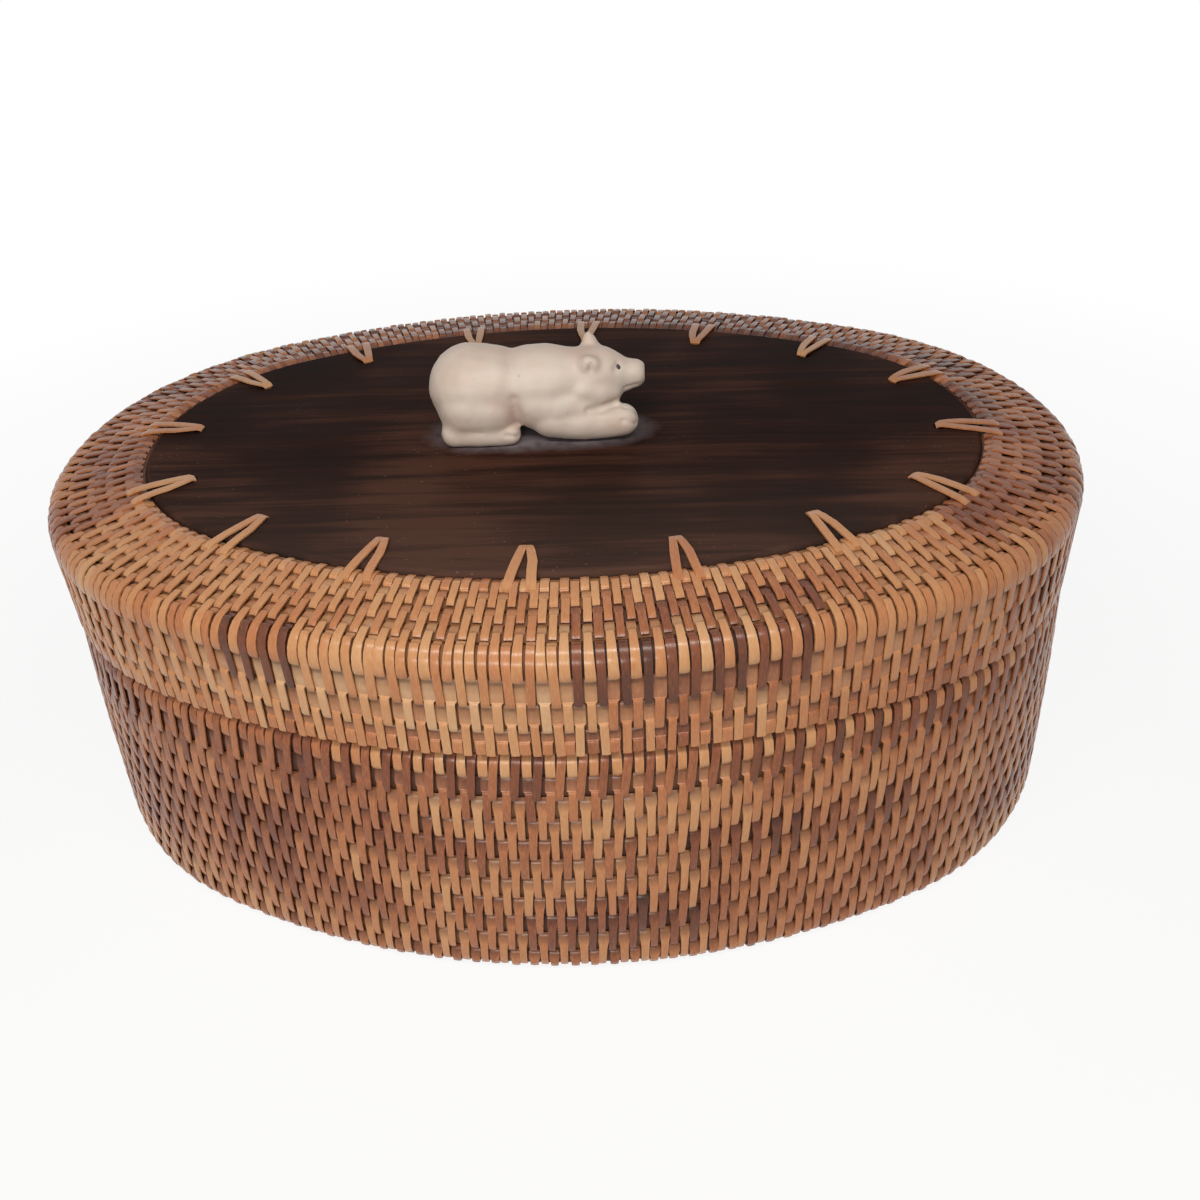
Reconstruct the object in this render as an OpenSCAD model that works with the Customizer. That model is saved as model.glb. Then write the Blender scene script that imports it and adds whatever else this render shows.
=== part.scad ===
// Oval coiled-cane basket with a lift-off lid, a laced wooden lid panel and a carved bear as its handle.
// The base stands on z = 0 with its centre over the origin. X runs along the length, Z is up.
// Every coil course is one closed oval turn, and the courses bear on each other face to face.

/* [Outline] */
// Outside length at the seam between base and lid
basket_length = 240; // [210:1:280]
// Outside width at the seam between base and lid
basket_width = 168; // [150:1:190]

/* [Base] */
// Number of coil courses in the base wall
base_courses = 11; // [6:1:14]
// Height of one base course
base_course_h = 5.6; // [4.5:0.1:7]
// Thickness of the base wall
wall_t = 5.2; // [4.6:0.1:7]
// How far the foot of the wall stands out beyond the seam outline
flare = 2.4; // [0:0.1:4]
// How far a course's rounded face stands beyond its edges
course_bulge = 0.6; // [0.3:0.1:0.9]
// Radius of the rolled edge at the foot of the base and under the lid
rolled_r = 4.2; // [3.6:0.1:6]

/* [Floor] */
// Thickness of the coiled floor
floor_t = 5; // [4:0.1:7]
// Width of one turn of the floor coil
floor_course_w = 5.6; // [4.5:0.1:7]
// Height of the floor above the table
floor_lift = 0.8; // [0.4:0.1:2]

/* [Collar] */
// Number of collar courses that stand above the seam, inside the lid
collar_rise_courses = 2; // [1:1:2]
// Thickness of the collar
collar_t = 4.2; // [3.5:0.1:6]
// Room between the collar and the inside of the lid
lid_clearance = 0.7; // [0.5:0.1:1.2]
// Room between the closed lid and the base
seat_gap = 0.3; // [0.2:0.05:0.6]
// Room for the cane wrapping between courses that lie side by side
stitch_gap = 0.1; // [0.05:0.05:0.3]

/* [Lid] */
// Number of coil courses in the side of the lid, below the shoulder
lid_side_courses = 3; // [3:1:5]
// Height of one lid side course
lid_course_h = 6.2; // [5.6:0.1:7]
// Radius of the rolled shoulder of the lid
shoulder_r = 4.2; // [3.8:0.1:6]
// Number of courses in the flat band between shoulder and panel
lid_top_courses = 4; // [2:1:6]
// Width of one course of the flat band
top_course_w = 4.3; // [3.5:0.1:6]
// Thickness of the flat band
top_t = 5.4; // [4.5:0.1:7]
// Rise of each course of the band over the one outside it
crown_rise = 0.6; // [0.2:0.1:1]

/* [Panel] */
// Thickness of the wooden panel
panel_t = 6; // [5.8:0.1:9]
// Gap between the panel and the coil round it
panel_gap = 0.4; // [0.2:0.1:0.9]
// How far the panel stands above the coil round it
panel_proud = 0.4; // [0.2:0.1:1]
// Radius of the rounded top edge of the panel
panel_edge_r = 2; // [1.2:0.1:3]

/* [Lacing] */
// Number of lacing loops round the panel
lacing_count = 16; // [8:1:20]
// Distance of the lacing holes from the panel's edge
lacing_inset = 9.2; // [6:0.1:14]
// Diameter of a lacing hole
lacing_hole_d = 3; // [2.6:0.1:4]
// Room round the cane where it passes through a lacing hole, on the diameter
lacing_slack = 0.8; // [0.4:0.1:1.2]
// Width of the lacing cane
cane_w = 2.2; // [1.4:0.1:2.4]
// Thickness of the lacing cane
cane_t = 0.7; // [0.5:0.1:1]
// Distance between the two legs of a loop where they meet the coil
lacing_spread = 6.4; // [3:0.1:8]
// Where the first loop stands, as a share of the spacing between loops
lacing_phase = 0.85; // [0:0.01:1]
// Room between the cane and what it lies on
cane_skim = 0.1; // [0.05:0.05:0.3]

/* [Bear] */
// Length of the carved bear from rump to nose
bear_length = 50; // [35:1:70]
// Where the middle of the bear stands along the panel
bear_x = -4.9; // [-30:0.1:30]
// Where the middle of the bear stands across the panel
bear_y = -1.2; // [-15:0.1:15]
// Turn of the bear on the panel in degrees
bear_turn = 2; // [-30:1:30]
// Thickness of the bed of glue under its feet
glue_t = 0.5; // [0.3:0.1:1]

/* [Hidden] */
$fn = 120;
reach = 400;

half_l = basket_length / 2;
half_w = basket_width / 2;
// The line through the end and side centres is the long side of an 8-15-17 triangle, so the arcs join
// without a kink, on a line with round coordinates.
arc_unit = round((half_l - half_w) / 6 * 1000) / 1000;
end_centre = 8 * arc_unit;
side_centre = 15 * arc_unit;
end_r = half_l - 8 * arc_unit;
side_r = half_l + 9 * arc_unit;
join_angle = atan2(15, 8);
join_far = [end_centre + reach, reach * 15 / 8];
// How far an end arc runs on over the side arcs, so that the four arcs of a course grow into one
join_lap = 0.002;

// Degrees of a sine wave that the flare of the wall follows from seam to foot
swell_span = 70;
seam_z = base_courses * base_course_h;
floor_out = swell(1) - wall_t - stitch_gap;
floor_start_r = 2;
floor_courses = floor((end_r + floor_out - floor_start_r) / floor_course_w);
floor_start = floor_out - floor_courses * floor_course_w;

collar_out = -wall_t - stitch_gap;
collar_courses = collar_rise_courses + 1;

lid_z = seam_z + seat_gap;
lid_t = wall_t - lid_clearance;
shoulder_z = lid_z + lid_side_courses * lid_course_h;
shoulder_top = shoulder_z + lid_course_h;
band_out = -lid_t - stitch_gap;
band_in = band_out - lid_top_courses * top_course_w;
band_inner_top = shoulder_top + lid_top_courses * crown_rise;

panel_off = band_in - panel_gap;
panel_top = band_inner_top + panel_proud;
panel_z = panel_top - panel_t;
panel_edge_h = 1.2 * panel_edge_r;
panel_edge_w = 2 * panel_edge_r;
panel_edge_bulge = 0.1;

lacing_leg = lacing_inset + panel_gap + top_course_w;
lacing_peg_d = lacing_hole_d - lacing_slack;

// The carving is drawn on a grid of 50 units from rump to nose
bear_unit = bear_length / 50;
bear_z = panel_top + glue_t;

straw = [0.80, 0.60, 0.38];
tan = [0.72, 0.50, 0.30];
lacquer = [0.13, 0.07, 0.06];
bone = [0.90, 0.85, 0.79];
glue_grey = [0.42, 0.40, 0.40];

// Outward shift of base course i, counted from the foot: none at the seam, most at the foot
function swell(i) = flare * sin(swell_span * (base_courses - i) / (base_courses - 1)) / sin(swell_span);

// Radius of an arc that rises by bulge over a chord of the given length
function bulge_r(chord, bulge) = (chord * chord / 4 + bulge * bulge) / (2 * bulge);

// Lengths of the end and side arcs in one quarter of the oval at an offset
function end_arc(offset) = join_angle * PI / 180 * (end_r + offset);
function side_arc(offset) = (90 - join_angle) * PI / 180 * (side_r + offset);
function quarter_arc(offset) = end_arc(offset) + side_arc(offset);

// Direction of the outward normal after a length of the first quarter
function quarter_angle(len, offset) = len <= end_arc(offset)
    ? len / (end_r + offset) * 180 / PI
    : join_angle + (len - end_arc(offset)) / (side_r + offset) * 180 / PI;

// Direction of the outward normal at a share of the whole outline, from +X anticlockwise
function normal_angle(share, offset) =
    let (turn = 4 * (share - floor(share)), quarter = floor(turn))
    let (len = (turn - quarter) * quarter_arc(offset))
    quarter == 0 ? quarter_angle(len, offset)
    : quarter == 1 ? 180 - quarter_angle(quarter_arc(offset) - len, offset)
    : quarter == 2 ? 180 + quarter_angle(len, offset)
    : 360 - quarter_angle(quarter_arc(offset) - len, offset);

// Point of the oval at an offset whose outward normal has the given direction
function oval_spot(angle, offset) = acos(abs(cos(angle))) <= join_angle
    ? [sign(cos(angle)) * end_centre + (end_r + offset) * cos(angle), (end_r + offset) * sin(angle)]
    : [(side_r + offset) * cos(angle), (side_r + offset) * sin(angle) - sign(sin(angle)) * side_centre];

// The sector of the plan that belongs to the end arc: it leaves the end centre along the two joins
module end_sector() {
    translate([-join_lap, 0, -reach]) linear_extrude(2 * reach)
        polygon([[end_centre, 0], join_far, [join_far[0], -join_far[1]]]);
}

// The sector of the plan that belongs to the side arc: its slanted edges are the joins with the end arcs
module side_sector() {
    translate([0, 0, -reach]) linear_extrude(2 * reach)
        polygon([[end_centre, 0], join_far, [-join_far[0], join_far[1]], [-end_centre, 0]]);
}

// The half of a section that lies outside its axis
module right_of_axis() {
    intersection() {
        children();
        translate([0, -reach]) square([reach, 2 * reach]);
    }
}

// Sweep a section round the oval: its x is the offset from the seam outline and its y the height.
// A section that reaches inwards past the middle fills the oval.
module oval_ring() {
    for (flip = [0, 1]) {
        mirror([flip, 0, 0]) intersection() {
            translate([end_centre, 0, 0]) rotate_extrude(angle = 180, start = -90)
                right_of_axis() translate([end_r, 0]) children();
            end_sector();
        }
        mirror([0, flip, 0]) intersection() {
            translate([0, -side_centre, 0]) rotate_extrude(angle = 180)
                right_of_axis() translate([side_r, 0]) children();
            side_sector();
        }
    }
}

// Section of a wall course: flat bearing faces, rounded outside, and rounded or flat inside
module wall_section(w, h, round_inside = true) {
    r = bulge_r(h, course_bulge);
    spare = 1;
    intersection() {
        translate([round_inside ? -w - spare : -w, 0]) square([round_inside ? w + 2 * spare : w + spare, h]);
        translate([-r, h / 2]) circle(r);
        if (round_inside) translate([r - w, h / 2]) circle(r);
    }
}

// Section of a course whose upper outer edge is rolled over with radius r
module rolled_section(w, h, r, edge = course_bulge) {
    spare = 1;
    lap = 0.1;
    centre_h = max(sqrt(2 * r * edge - edge * edge), h - r + lap);
    intersection() {
        translate([-w, 0]) square([w + spare, h]);
        union() {
            translate([-r, centre_h]) circle(r);
            translate([-w - spare, 0]) square([w + spare - r, h]);
        }
    }
}

// Section of a course that lies flat beside its neighbours: flat sides, rounded above and below
module flat_section(w, h) {
    r = bulge_r(w, course_bulge);
    spare = 1;
    intersection() {
        translate([-w, -spare]) square([w, h + 2 * spare]);
        translate([-w / 2, h - r]) circle(r);
        translate([-w / 2, r]) circle(r);
    }
}

module base_floor_start() {
    color(straw) translate([0, 0, floor_lift]) oval_ring()
        translate([floor_start - reach, course_bulge]) square([reach, floor_t - 2 * course_bulge]);
}

module base_floor_course(i) {
    color(i % 2 == 0 ? tan : straw) translate([0, 0, floor_lift])
        oval_ring() translate([floor_start + i * floor_course_w, 0])
            flat_section(floor_course_w - stitch_gap, floor_t);
}

module base_wall_course(i) {
    color(i % 2 == 0 ? tan : straw) translate([0, 0, (i - 1) * base_course_h])
        oval_ring() translate([swell(i), 0]) {
            if (i == 1) translate([0, base_course_h]) mirror([0, 1])
                rolled_section(wall_t, base_course_h, rolled_r);
            else if (i == base_courses) rolled_section(wall_t, base_course_h, rolled_r);
            else wall_section(wall_t, base_course_h);
        }
}

module base_collar_course(i) {
    color(tan) translate([0, 0, seam_z + (i - 2) * base_course_h])
        oval_ring() translate([collar_out, 0]) {
            if (i == collar_courses) rolled_section(collar_t, base_course_h, rolled_r);
            else wall_section(collar_t, base_course_h, i > 1);
        }
}

module lid_side_course(i) {
    color(i % 2 == 0 ? straw : tan) translate([0, 0, lid_z + (i - 1) * lid_course_h])
        oval_ring() wall_section(lid_t, lid_course_h);
}

module lid_shoulder_course() {
    color(straw) translate([0, 0, shoulder_z])
        oval_ring() rolled_section(lid_t, lid_course_h, shoulder_r);
}

module lid_top_course(i) {
    color(i % 2 == 0 ? tan : straw) translate([0, 0, shoulder_top + i * crown_rise - top_t])
        oval_ring() translate([band_out - (i - 1) * top_course_w, 0])
            flat_section(top_course_w - stitch_gap, top_t);
}

// Run what follows at each lacing hole, with +X pointing outwards
module at_lacing_holes() {
    for (i = [0 : lacing_count - 1]) {
        angle = normal_angle((i + lacing_phase) / lacing_count, panel_off);
        translate(oval_spot(angle, panel_off - lacing_inset)) rotate([0, 0, angle]) children();
    }
}

module lid_panel() {
    color(lacquer) difference() {
        translate([0, 0, panel_z]) oval_ring() translate([panel_off, 0]) {
            translate([-reach, 0]) square([reach - panel_edge_w, panel_t]);
            translate([-reach, 0]) square([reach - panel_edge_bulge, panel_t - panel_edge_h]);
            translate([0, panel_t - panel_edge_h])
                rolled_section(panel_edge_w, panel_edge_h, panel_edge_r, panel_edge_bulge);
        }
        at_lacing_holes() translate([0, 0, panel_z - 1])
            cylinder(d = lacing_hole_d, h = panel_t + 2, $fn = 32);
    }
}

// The two legs of one loop, spread from the hole towards the coil
module lacing_legs() {
    swing = atan2((lacing_spread - cane_w) / 2, lacing_leg);
    for (side = [-1, 1]) rotate([0, 0, side * swing])
        translate([-cane_w / 2, -cane_w / 2, 0]) cube([lacing_leg + cane_w / 2, cane_w, cane_t]);
}

module lid_lacing() {
    above = panel_top + cane_skim;
    below = panel_z - cane_skim - cane_t;
    color(straw) at_lacing_holes() {
        translate([0, 0, above]) lacing_legs();
        translate([0, 0, below]) lacing_legs();
        translate([0, 0, below]) cylinder(d = lacing_peg_d, h = above - below + cane_t, $fn = 32);
    }
}

// Put what follows under or on the panel where the bear stands, with the rump at x = 0
module at_bear(z) {
    translate([bear_x, bear_y, z]) rotate([0, 0, bear_turn])
        translate([-bear_length / 2, 0, 0]) children();
}

module bear_glue() {
    hind = [10, 9.4];
    fore = [38, 8.6];
    color(glue_grey) at_bear(panel_top) linear_extrude(glue_t) scale(bear_unit) hull() {
        translate([hind[0], 0]) circle(hind[1], $fn = 48);
        translate([fore[0], 0]) circle(fore[1], $fn = 48);
    }
}

// One bead of the carving: x along the bear, y across, z up and r its radius
module bead(spot) {
    translate([spot[0], spot[1], spot[2]]) sphere(spot[3], $fn = 20);
}

// A limb or a trunk: a chain of beads, each blended into the next
module chain(beads) {
    for (i = [0 : len(beads) - 2]) hull() {
        bead(beads[i]);
        bead(beads[i + 1]);
    }
}

module both_sides() {
    children();
    mirror([0, 1, 0]) children();
}

module bear_form() {
    trunk = [[10.2, 0, 11.6, 10.2], [19.4, 0, 11, 8.9], [26.5, 0, 11.9, 9.2],
        [33, 0, 12.6, 7.3], [39.3, 0, 13.4, 6.1]];
    muzzle = [[40, 0, 13.4, 5.2], [47.1, 0, 13.3, 3]];
    thigh = [[9, 2.4, 8.6, 7.6], [13.5, 3, 6.8, 6.8]];
    hind_foot = [[5.4, 6, 2.6, 3.2], [18.6, 6.6, 2.3, 2.6]];
    fore_leg = [[25, 4.2, 5.4, 4.9], [36, 4.8, 3.8, 3.9], [44.7, 4.3, 3.7, 3.8]];
    ear = [[37, 3.4, 18, 1.7], [37.1, 4.6, 21.4, 0.7]];
    eye = [44.3, 2.7, 16.4, 0.8];
    difference() {
        union() {
            chain(trunk);
            chain(muzzle);
            both_sides() {
                chain(thigh);
                chain(hind_foot);
                chain(fore_leg);
                chain(ear);
            }
        }
        both_sides() bead(eye);
        translate([-reach, -reach, -reach]) cube([2 * reach, 2 * reach, reach]);
    }
}

module bear_figure() {
    color(bone) at_bear(bear_z) scale(bear_unit) bear_form();
}

base_floor_start();
for (i = [1 : floor_courses])
    base_floor_course(i);
for (i = [1 : base_courses])
    base_wall_course(i);
for (i = [1 : collar_courses])
    base_collar_course(i);
for (i = [1 : lid_side_courses])
    lid_side_course(i);
lid_shoulder_course();
for (i = [1 : lid_top_courses])
    lid_top_course(i);
lid_panel();
lid_lacing();
bear_glue();
bear_figure();
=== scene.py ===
"""Oval coiled-cane basket: the looks of its wrapped courses, laced panel and carved bear, and its stage."""

import math

import bmesh
import bpy
from mathutils import Matrix, Vector, noise


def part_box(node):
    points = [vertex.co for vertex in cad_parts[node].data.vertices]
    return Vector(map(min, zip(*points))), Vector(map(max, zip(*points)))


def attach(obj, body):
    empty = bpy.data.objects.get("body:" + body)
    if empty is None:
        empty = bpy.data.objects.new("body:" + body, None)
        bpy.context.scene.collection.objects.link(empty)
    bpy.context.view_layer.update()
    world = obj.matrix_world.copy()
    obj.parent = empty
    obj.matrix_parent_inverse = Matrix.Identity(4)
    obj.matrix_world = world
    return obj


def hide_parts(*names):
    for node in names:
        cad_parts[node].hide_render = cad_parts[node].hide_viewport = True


bl_info = {
    "name": "Coiled cane basket",
    "version": (1, 0, 0),
    "blender": (4, 5, 0),
    "location": "View3D > Sidebar > Basket",
    "description": "Dresses an oval coiled-cane basket with a laced lid panel and a carved bear",
    "category": "Object",
}

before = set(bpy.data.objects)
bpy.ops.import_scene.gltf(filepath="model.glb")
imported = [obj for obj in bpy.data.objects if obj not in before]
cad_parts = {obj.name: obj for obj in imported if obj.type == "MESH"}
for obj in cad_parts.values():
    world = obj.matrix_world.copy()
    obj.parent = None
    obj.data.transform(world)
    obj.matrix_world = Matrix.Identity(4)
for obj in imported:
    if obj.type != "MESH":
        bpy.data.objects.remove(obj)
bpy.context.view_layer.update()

MM = 0.001
SEAM_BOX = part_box("lid_side_course_1")
HALF_L = SEAM_BOX[1].x
HALF_W = SEAM_BOX[1].y
# The outline is four arcs whose centres lie on an 8-15-17 triangle.
ARC_UNIT = (HALF_L - HALF_W) / 6
END_CENTRE = 8 * ARC_UNIT
SIDE_CENTRE = 15 * ARC_UNIT
END_R = HALF_L - END_CENTRE
SIDE_R = HALF_W + SIDE_CENTRE
JOIN_ANGLE = math.atan2(15, 8)


# Sizes and colours that a user may change

class BasketWeave(bpy.types.PropertyGroup):
    stitches: bpy.props.IntProperty(
        name="Stitches", description="Cane stitches in one turn of the wall", default=150, min=60, max=240)
    strip_width: bpy.props.FloatProperty(
        name="Strip width", description="Width of the wrapping cane", default=1.9 * MM, subtype="DISTANCE")
    strip_thickness: bpy.props.FloatProperty(
        name="Strip thickness", description="Thickness of the wrapping cane", default=0.45 * MM,
        subtype="DISTANCE")
    wall: bpy.props.FloatProperty(
        name="Wall", description="Thickness of the base wall", default=5.2 * MM, subtype="DISTANCE")
    lid_wall: bpy.props.FloatProperty(
        name="Lid wall", description="Thickness of the lid's side", default=4.5 * MM, subtype="DISTANCE")
    collar: bpy.props.FloatProperty(
        name="Collar", description="Thickness of the collar", default=4.2 * MM, subtype="DISTANCE")
    roll: bpy.props.FloatProperty(
        name="Roll", description="Radius of the rolled rim, foot and shoulder", default=4.2 * MM,
        subtype="DISTANCE")
    seed: bpy.props.IntProperty(name="Seed", description="Seed of the hand-made unevenness", default=7)


def linear(code):
    """Linear colour of an sRGB hex value."""
    parts = [int(code[i:i + 2], 16) / 255 for i in (1, 3, 5)]
    return [c / 12.92 if c <= 0.04045 else ((c + 0.055) / 1.055) ** 2.4 for c in parts] + [1.0]


def colour_property(name, description, code):
    """A colour that a user may change, with its sRGB hex value as the default."""
    return bpy.props.FloatVectorProperty(
        name=name, description=description, default=linear(code), size=4, min=0.0, max=1.0, subtype="COLOR")


class BasketColours(bpy.types.PropertyGroup):
    straw: colour_property("Straw", "Palest cane", "#D0AA82")
    tan: colour_property("Tan", "Ordinary cane", "#C69062")
    orange: colour_property("Orange", "Oiled cane", "#B3734A")
    rust: colour_property("Rust", "Reddish cane", "#854C31")
    brown: colour_property("Brown", "Darkest cane", "#573324")
    lacquer: colour_property("Lacquer", "Lacquered wood", "#2B1914")
    grain: colour_property("Grain", "Reddish grain", "#4A2F25")
    bone: colour_property("Bone", "The carving", "#D1C3B5")
    bone_shade: colour_property("Bone shade", "Hollows", "#C7AD9E")
    glue: colour_property("Glue", "Glue smear", "#857B7E")
    floor: colour_property("Floor", "Studio floor", "#F4F4F2")


class BasketFigure(bpy.types.PropertyGroup):
    length: bpy.props.FloatProperty(
        name="Length", description="Rump to nose of the bear", default=50 * MM, subtype="DISTANCE")
    spot: bpy.props.FloatVectorProperty(
        name="Spot", description="Middle of the bear on the panel", default=(-4.9 * MM, -1.2 * MM), size=2,
        subtype="XYZ")
    turn: bpy.props.FloatProperty(
        name="Turn", description="Turn of the bear", default=math.radians(2), subtype="ANGLE")


class BasketView(bpy.types.PropertyGroup):
    azimuth: bpy.props.FloatProperty(
        name="Azimuth", description="Turn of the camera", default=math.radians(2.64), subtype="ANGLE")
    elevation: bpy.props.FloatProperty(
        name="Elevation", description="Height angle", default=math.radians(35.52), subtype="ANGLE")
    roll: bpy.props.FloatProperty(
        name="Roll", description="Tilt of the camera", default=math.radians(-2.64), subtype="ANGLE")
    distance: bpy.props.FloatProperty(
        name="Distance", description="From the aim to the lens", default=263.7 * MM, subtype="DISTANCE")
    focal_px: bpy.props.FloatProperty(
        name="Focal length", description="In pixels of the 1200 pixel frame", default=1150)
    aim: bpy.props.FloatVectorProperty(
        name="Aim", description="Point that the middle of the frame shows",
        default=(8.907 * MM, -31.726 * MM, 61.6 * MM), subtype="XYZ")


# The oval outline

def quarter_angle(length, offset):
    """Direction of the outward normal after a length of the first quarter."""
    end_arc = JOIN_ANGLE * (END_R + offset)
    if length <= end_arc:
        return length / (END_R + offset)
    return JOIN_ANGLE + (length - end_arc) / (SIDE_R + offset)


def normal_angle(share, offset=0.0):
    """Direction of the outward normal at a share of the whole outline, from +X anticlockwise."""
    quarter_arc = JOIN_ANGLE * (END_R + offset) + (math.pi / 2 - JOIN_ANGLE) * (SIDE_R + offset)
    turn = 4 * (share % 1.0)
    quarter = int(turn)
    length = (turn - quarter) * quarter_arc
    if quarter % 2 == 0:
        return quarter * math.pi / 2 + quarter_angle(length, offset)
    return (quarter + 1) * math.pi / 2 - quarter_angle(quarter_arc - length, offset)


def oval_spot(angle, offset):
    """Point of the oval at an offset whose outward normal has the given direction."""
    x, y = math.cos(angle), math.sin(angle)
    if math.acos(min(1.0, abs(x))) <= JOIN_ANGLE:
        return math.copysign(END_CENTRE, x) + (END_R + offset) * x, (END_R + offset) * y
    return (SIDE_R + offset) * x, (SIDE_R + offset) * y - math.copysign(SIDE_CENTRE, y)


def oval_reach(y, offset):
    """Half length of the oval at an offset, at a distance from its long axis."""
    end, side = END_R + offset, SIDE_R + offset
    if abs(y) <= end * math.sin(JOIN_ANGLE):
        return END_CENTRE + math.sqrt(end ** 2 - y ** 2)
    return math.sqrt(max(0.0, side ** 2 - (abs(y) + SIDE_CENTRE) ** 2))


# Small helpers

def add_node(tree, kind, links=None, **settings):
    """Add a node with its settings, and give its inputs a value, a socket or another node's first output."""
    node = tree.nodes.new(kind)
    for name, value in settings.items():
        setattr(node, name, value)
    for name, source in (links or {}).items():
        if isinstance(source, bpy.types.Node):
            source = source.outputs[0]
        if isinstance(source, bpy.types.NodeSocket):
            tree.links.new(source, node.inputs[name])
        else:
            node.inputs[name].default_value = source
    return node


def maths(tree, operation, *values, clamp=False):
    """A simple operation on values."""
    return add_node(tree, "ShaderNodeMath", dict(enumerate(values)), operation=operation, use_clamp=clamp)


def link_object(name, data):
    """A new object in the scene."""
    made = bpy.data.objects.new(name, data)
    bpy.context.scene.collection.objects.link(made)
    return made


def mesh_object(name, shape, *materials):
    """A new object of a finished shape, with its materials."""
    data = bpy.data.meshes.new(name)
    shape.to_mesh(data)
    shape.free()
    for made in materials:
        data.materials.append(made)
    return link_object(name, data)


def ring_faces(mesh, first, second):
    """Faces that close the gap between two rings of points."""
    after = [*range(1, len(first)), 0]
    return [mesh.faces.new((first[k], second[k], second[n], first[n])) for k, n in enumerate(after)]


def poly_curve(name, splines, closed=False):
    """A curve object of straight pieces, one spline for each list of points; a fourth value is the width
    there, as a share of the section's."""
    data = bpy.data.curves.new(name, "CURVE")
    data.dimensions = "3D"
    for points in splines:
        spline = data.splines.new("POLY")
        spline.points.add(len(points) - 1)
        spline.use_cyclic_u = closed
        for point, place in zip(spline.points, points):
            point.co = (*place[:3], 1.0)
            point.radius = place[3] if len(place) > 3 else 1.0
    return link_object(name, data)


def drop(*objects):
    """Remove helper objects and their data."""
    for thing in objects:
        data = thing.data
        bpy.data.objects.remove(thing)
        if data.users == 0:
            (bpy.data.curves if isinstance(data, bpy.types.Curve) else bpy.data.meshes).remove(data)


def set_inputs(modifier, **values):
    """Set a modifier's inputs by the identifier of the socket with that name."""
    named = {item.name: item.identifier for item in modifier.node_group.interface.items_tree
             if item.item_type == "SOCKET" and item.in_out == "INPUT"}
    for name, value in values.items():
        modifier[named[name.replace("_", " ").capitalize()]] = value


def plain_mesh(thing):
    """The evaluated mesh of an object, with its modifiers in it."""
    bpy.context.view_layer.update()
    graph = bpy.context.evaluated_depsgraph_get()
    return bpy.data.meshes.new_from_object(
        thing.evaluated_get(graph), preserve_all_data_layers=True, depsgraph=graph)


def dress(piece, body, slot, *nodes):
    """Let a finished piece ride on its body and stand for its nodes."""
    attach(piece, body)
    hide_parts(*nodes)
    return piece


# Materials

def new_material(name):
    """A material with an empty tree."""
    made = bpy.data.materials.new(name)
    made.use_nodes = True
    made.node_tree.nodes.clear()
    return made, made.node_tree


def finish_material(tree, looks):
    """A principled shader with the given looks, and the output."""
    shader = add_node(tree, "ShaderNodeBsdfPrincipled", looks)
    add_node(tree, "ShaderNodeOutputMaterial", {"Surface": shader})


def colour_ramp(tree, value, stops):
    """A colour ramp over a value; the stops are pairs of place and colour."""
    node = add_node(tree, "ShaderNodeValToRGB", {"Fac": value})
    elements = node.color_ramp.elements
    while len(elements) < len(stops):
        elements.new(1.0)
    for element, (place, colour) in zip(elements, stops):
        element.position = place
        element.color = colour
    return node


def attribute(tree, name):
    """A value that the mesh carries."""
    return add_node(tree, "ShaderNodeAttribute", attribute_name=name).outputs["Fac"]


def object_spot(tree):
    """Place on the object, in metres."""
    return add_node(tree, "ShaderNodeTexCoord").outputs["Object"]


def clouds(tree, scale, detail=2.0):
    """Noise that is fixed to the object, with its scale in waves per metre."""
    return add_node(tree, "ShaderNodeTexNoise", {
        "Vector": object_spot(tree), "Scale": scale, "Detail": detail})


def swing(tree, wave, amount, base):
    """A base that a noise moves up and down by an amount."""
    about = maths(tree, "SUBTRACT", wave, 0.5)
    return maths(tree, "MULTIPLY_ADD", about, amount, base)


def span(tree, value, start, end, low=0.0, high=1.0):
    """A value between start and end, mapped to low and high."""
    return add_node(tree, "ShaderNodeMapRange", {
        "Value": value, "From Min": start, "From Max": end, "To Min": low, "To Max": high})


def blend(tree, factor, first, second, kind="MIX"):
    """Two colours blended by a factor."""
    node = add_node(tree, "ShaderNodeMix", {"Factor": factor, 6: first, 7: second},
                    data_type="RGBA", blend_type=kind)
    return node.outputs[2]


def relief(tree, height, strength, depth):
    """Fine relief from a height, with its depth in millimetres."""
    return add_node(tree, "ShaderNodeBump", {"Height": height, "Strength": strength, "Distance": depth * MM})


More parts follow.
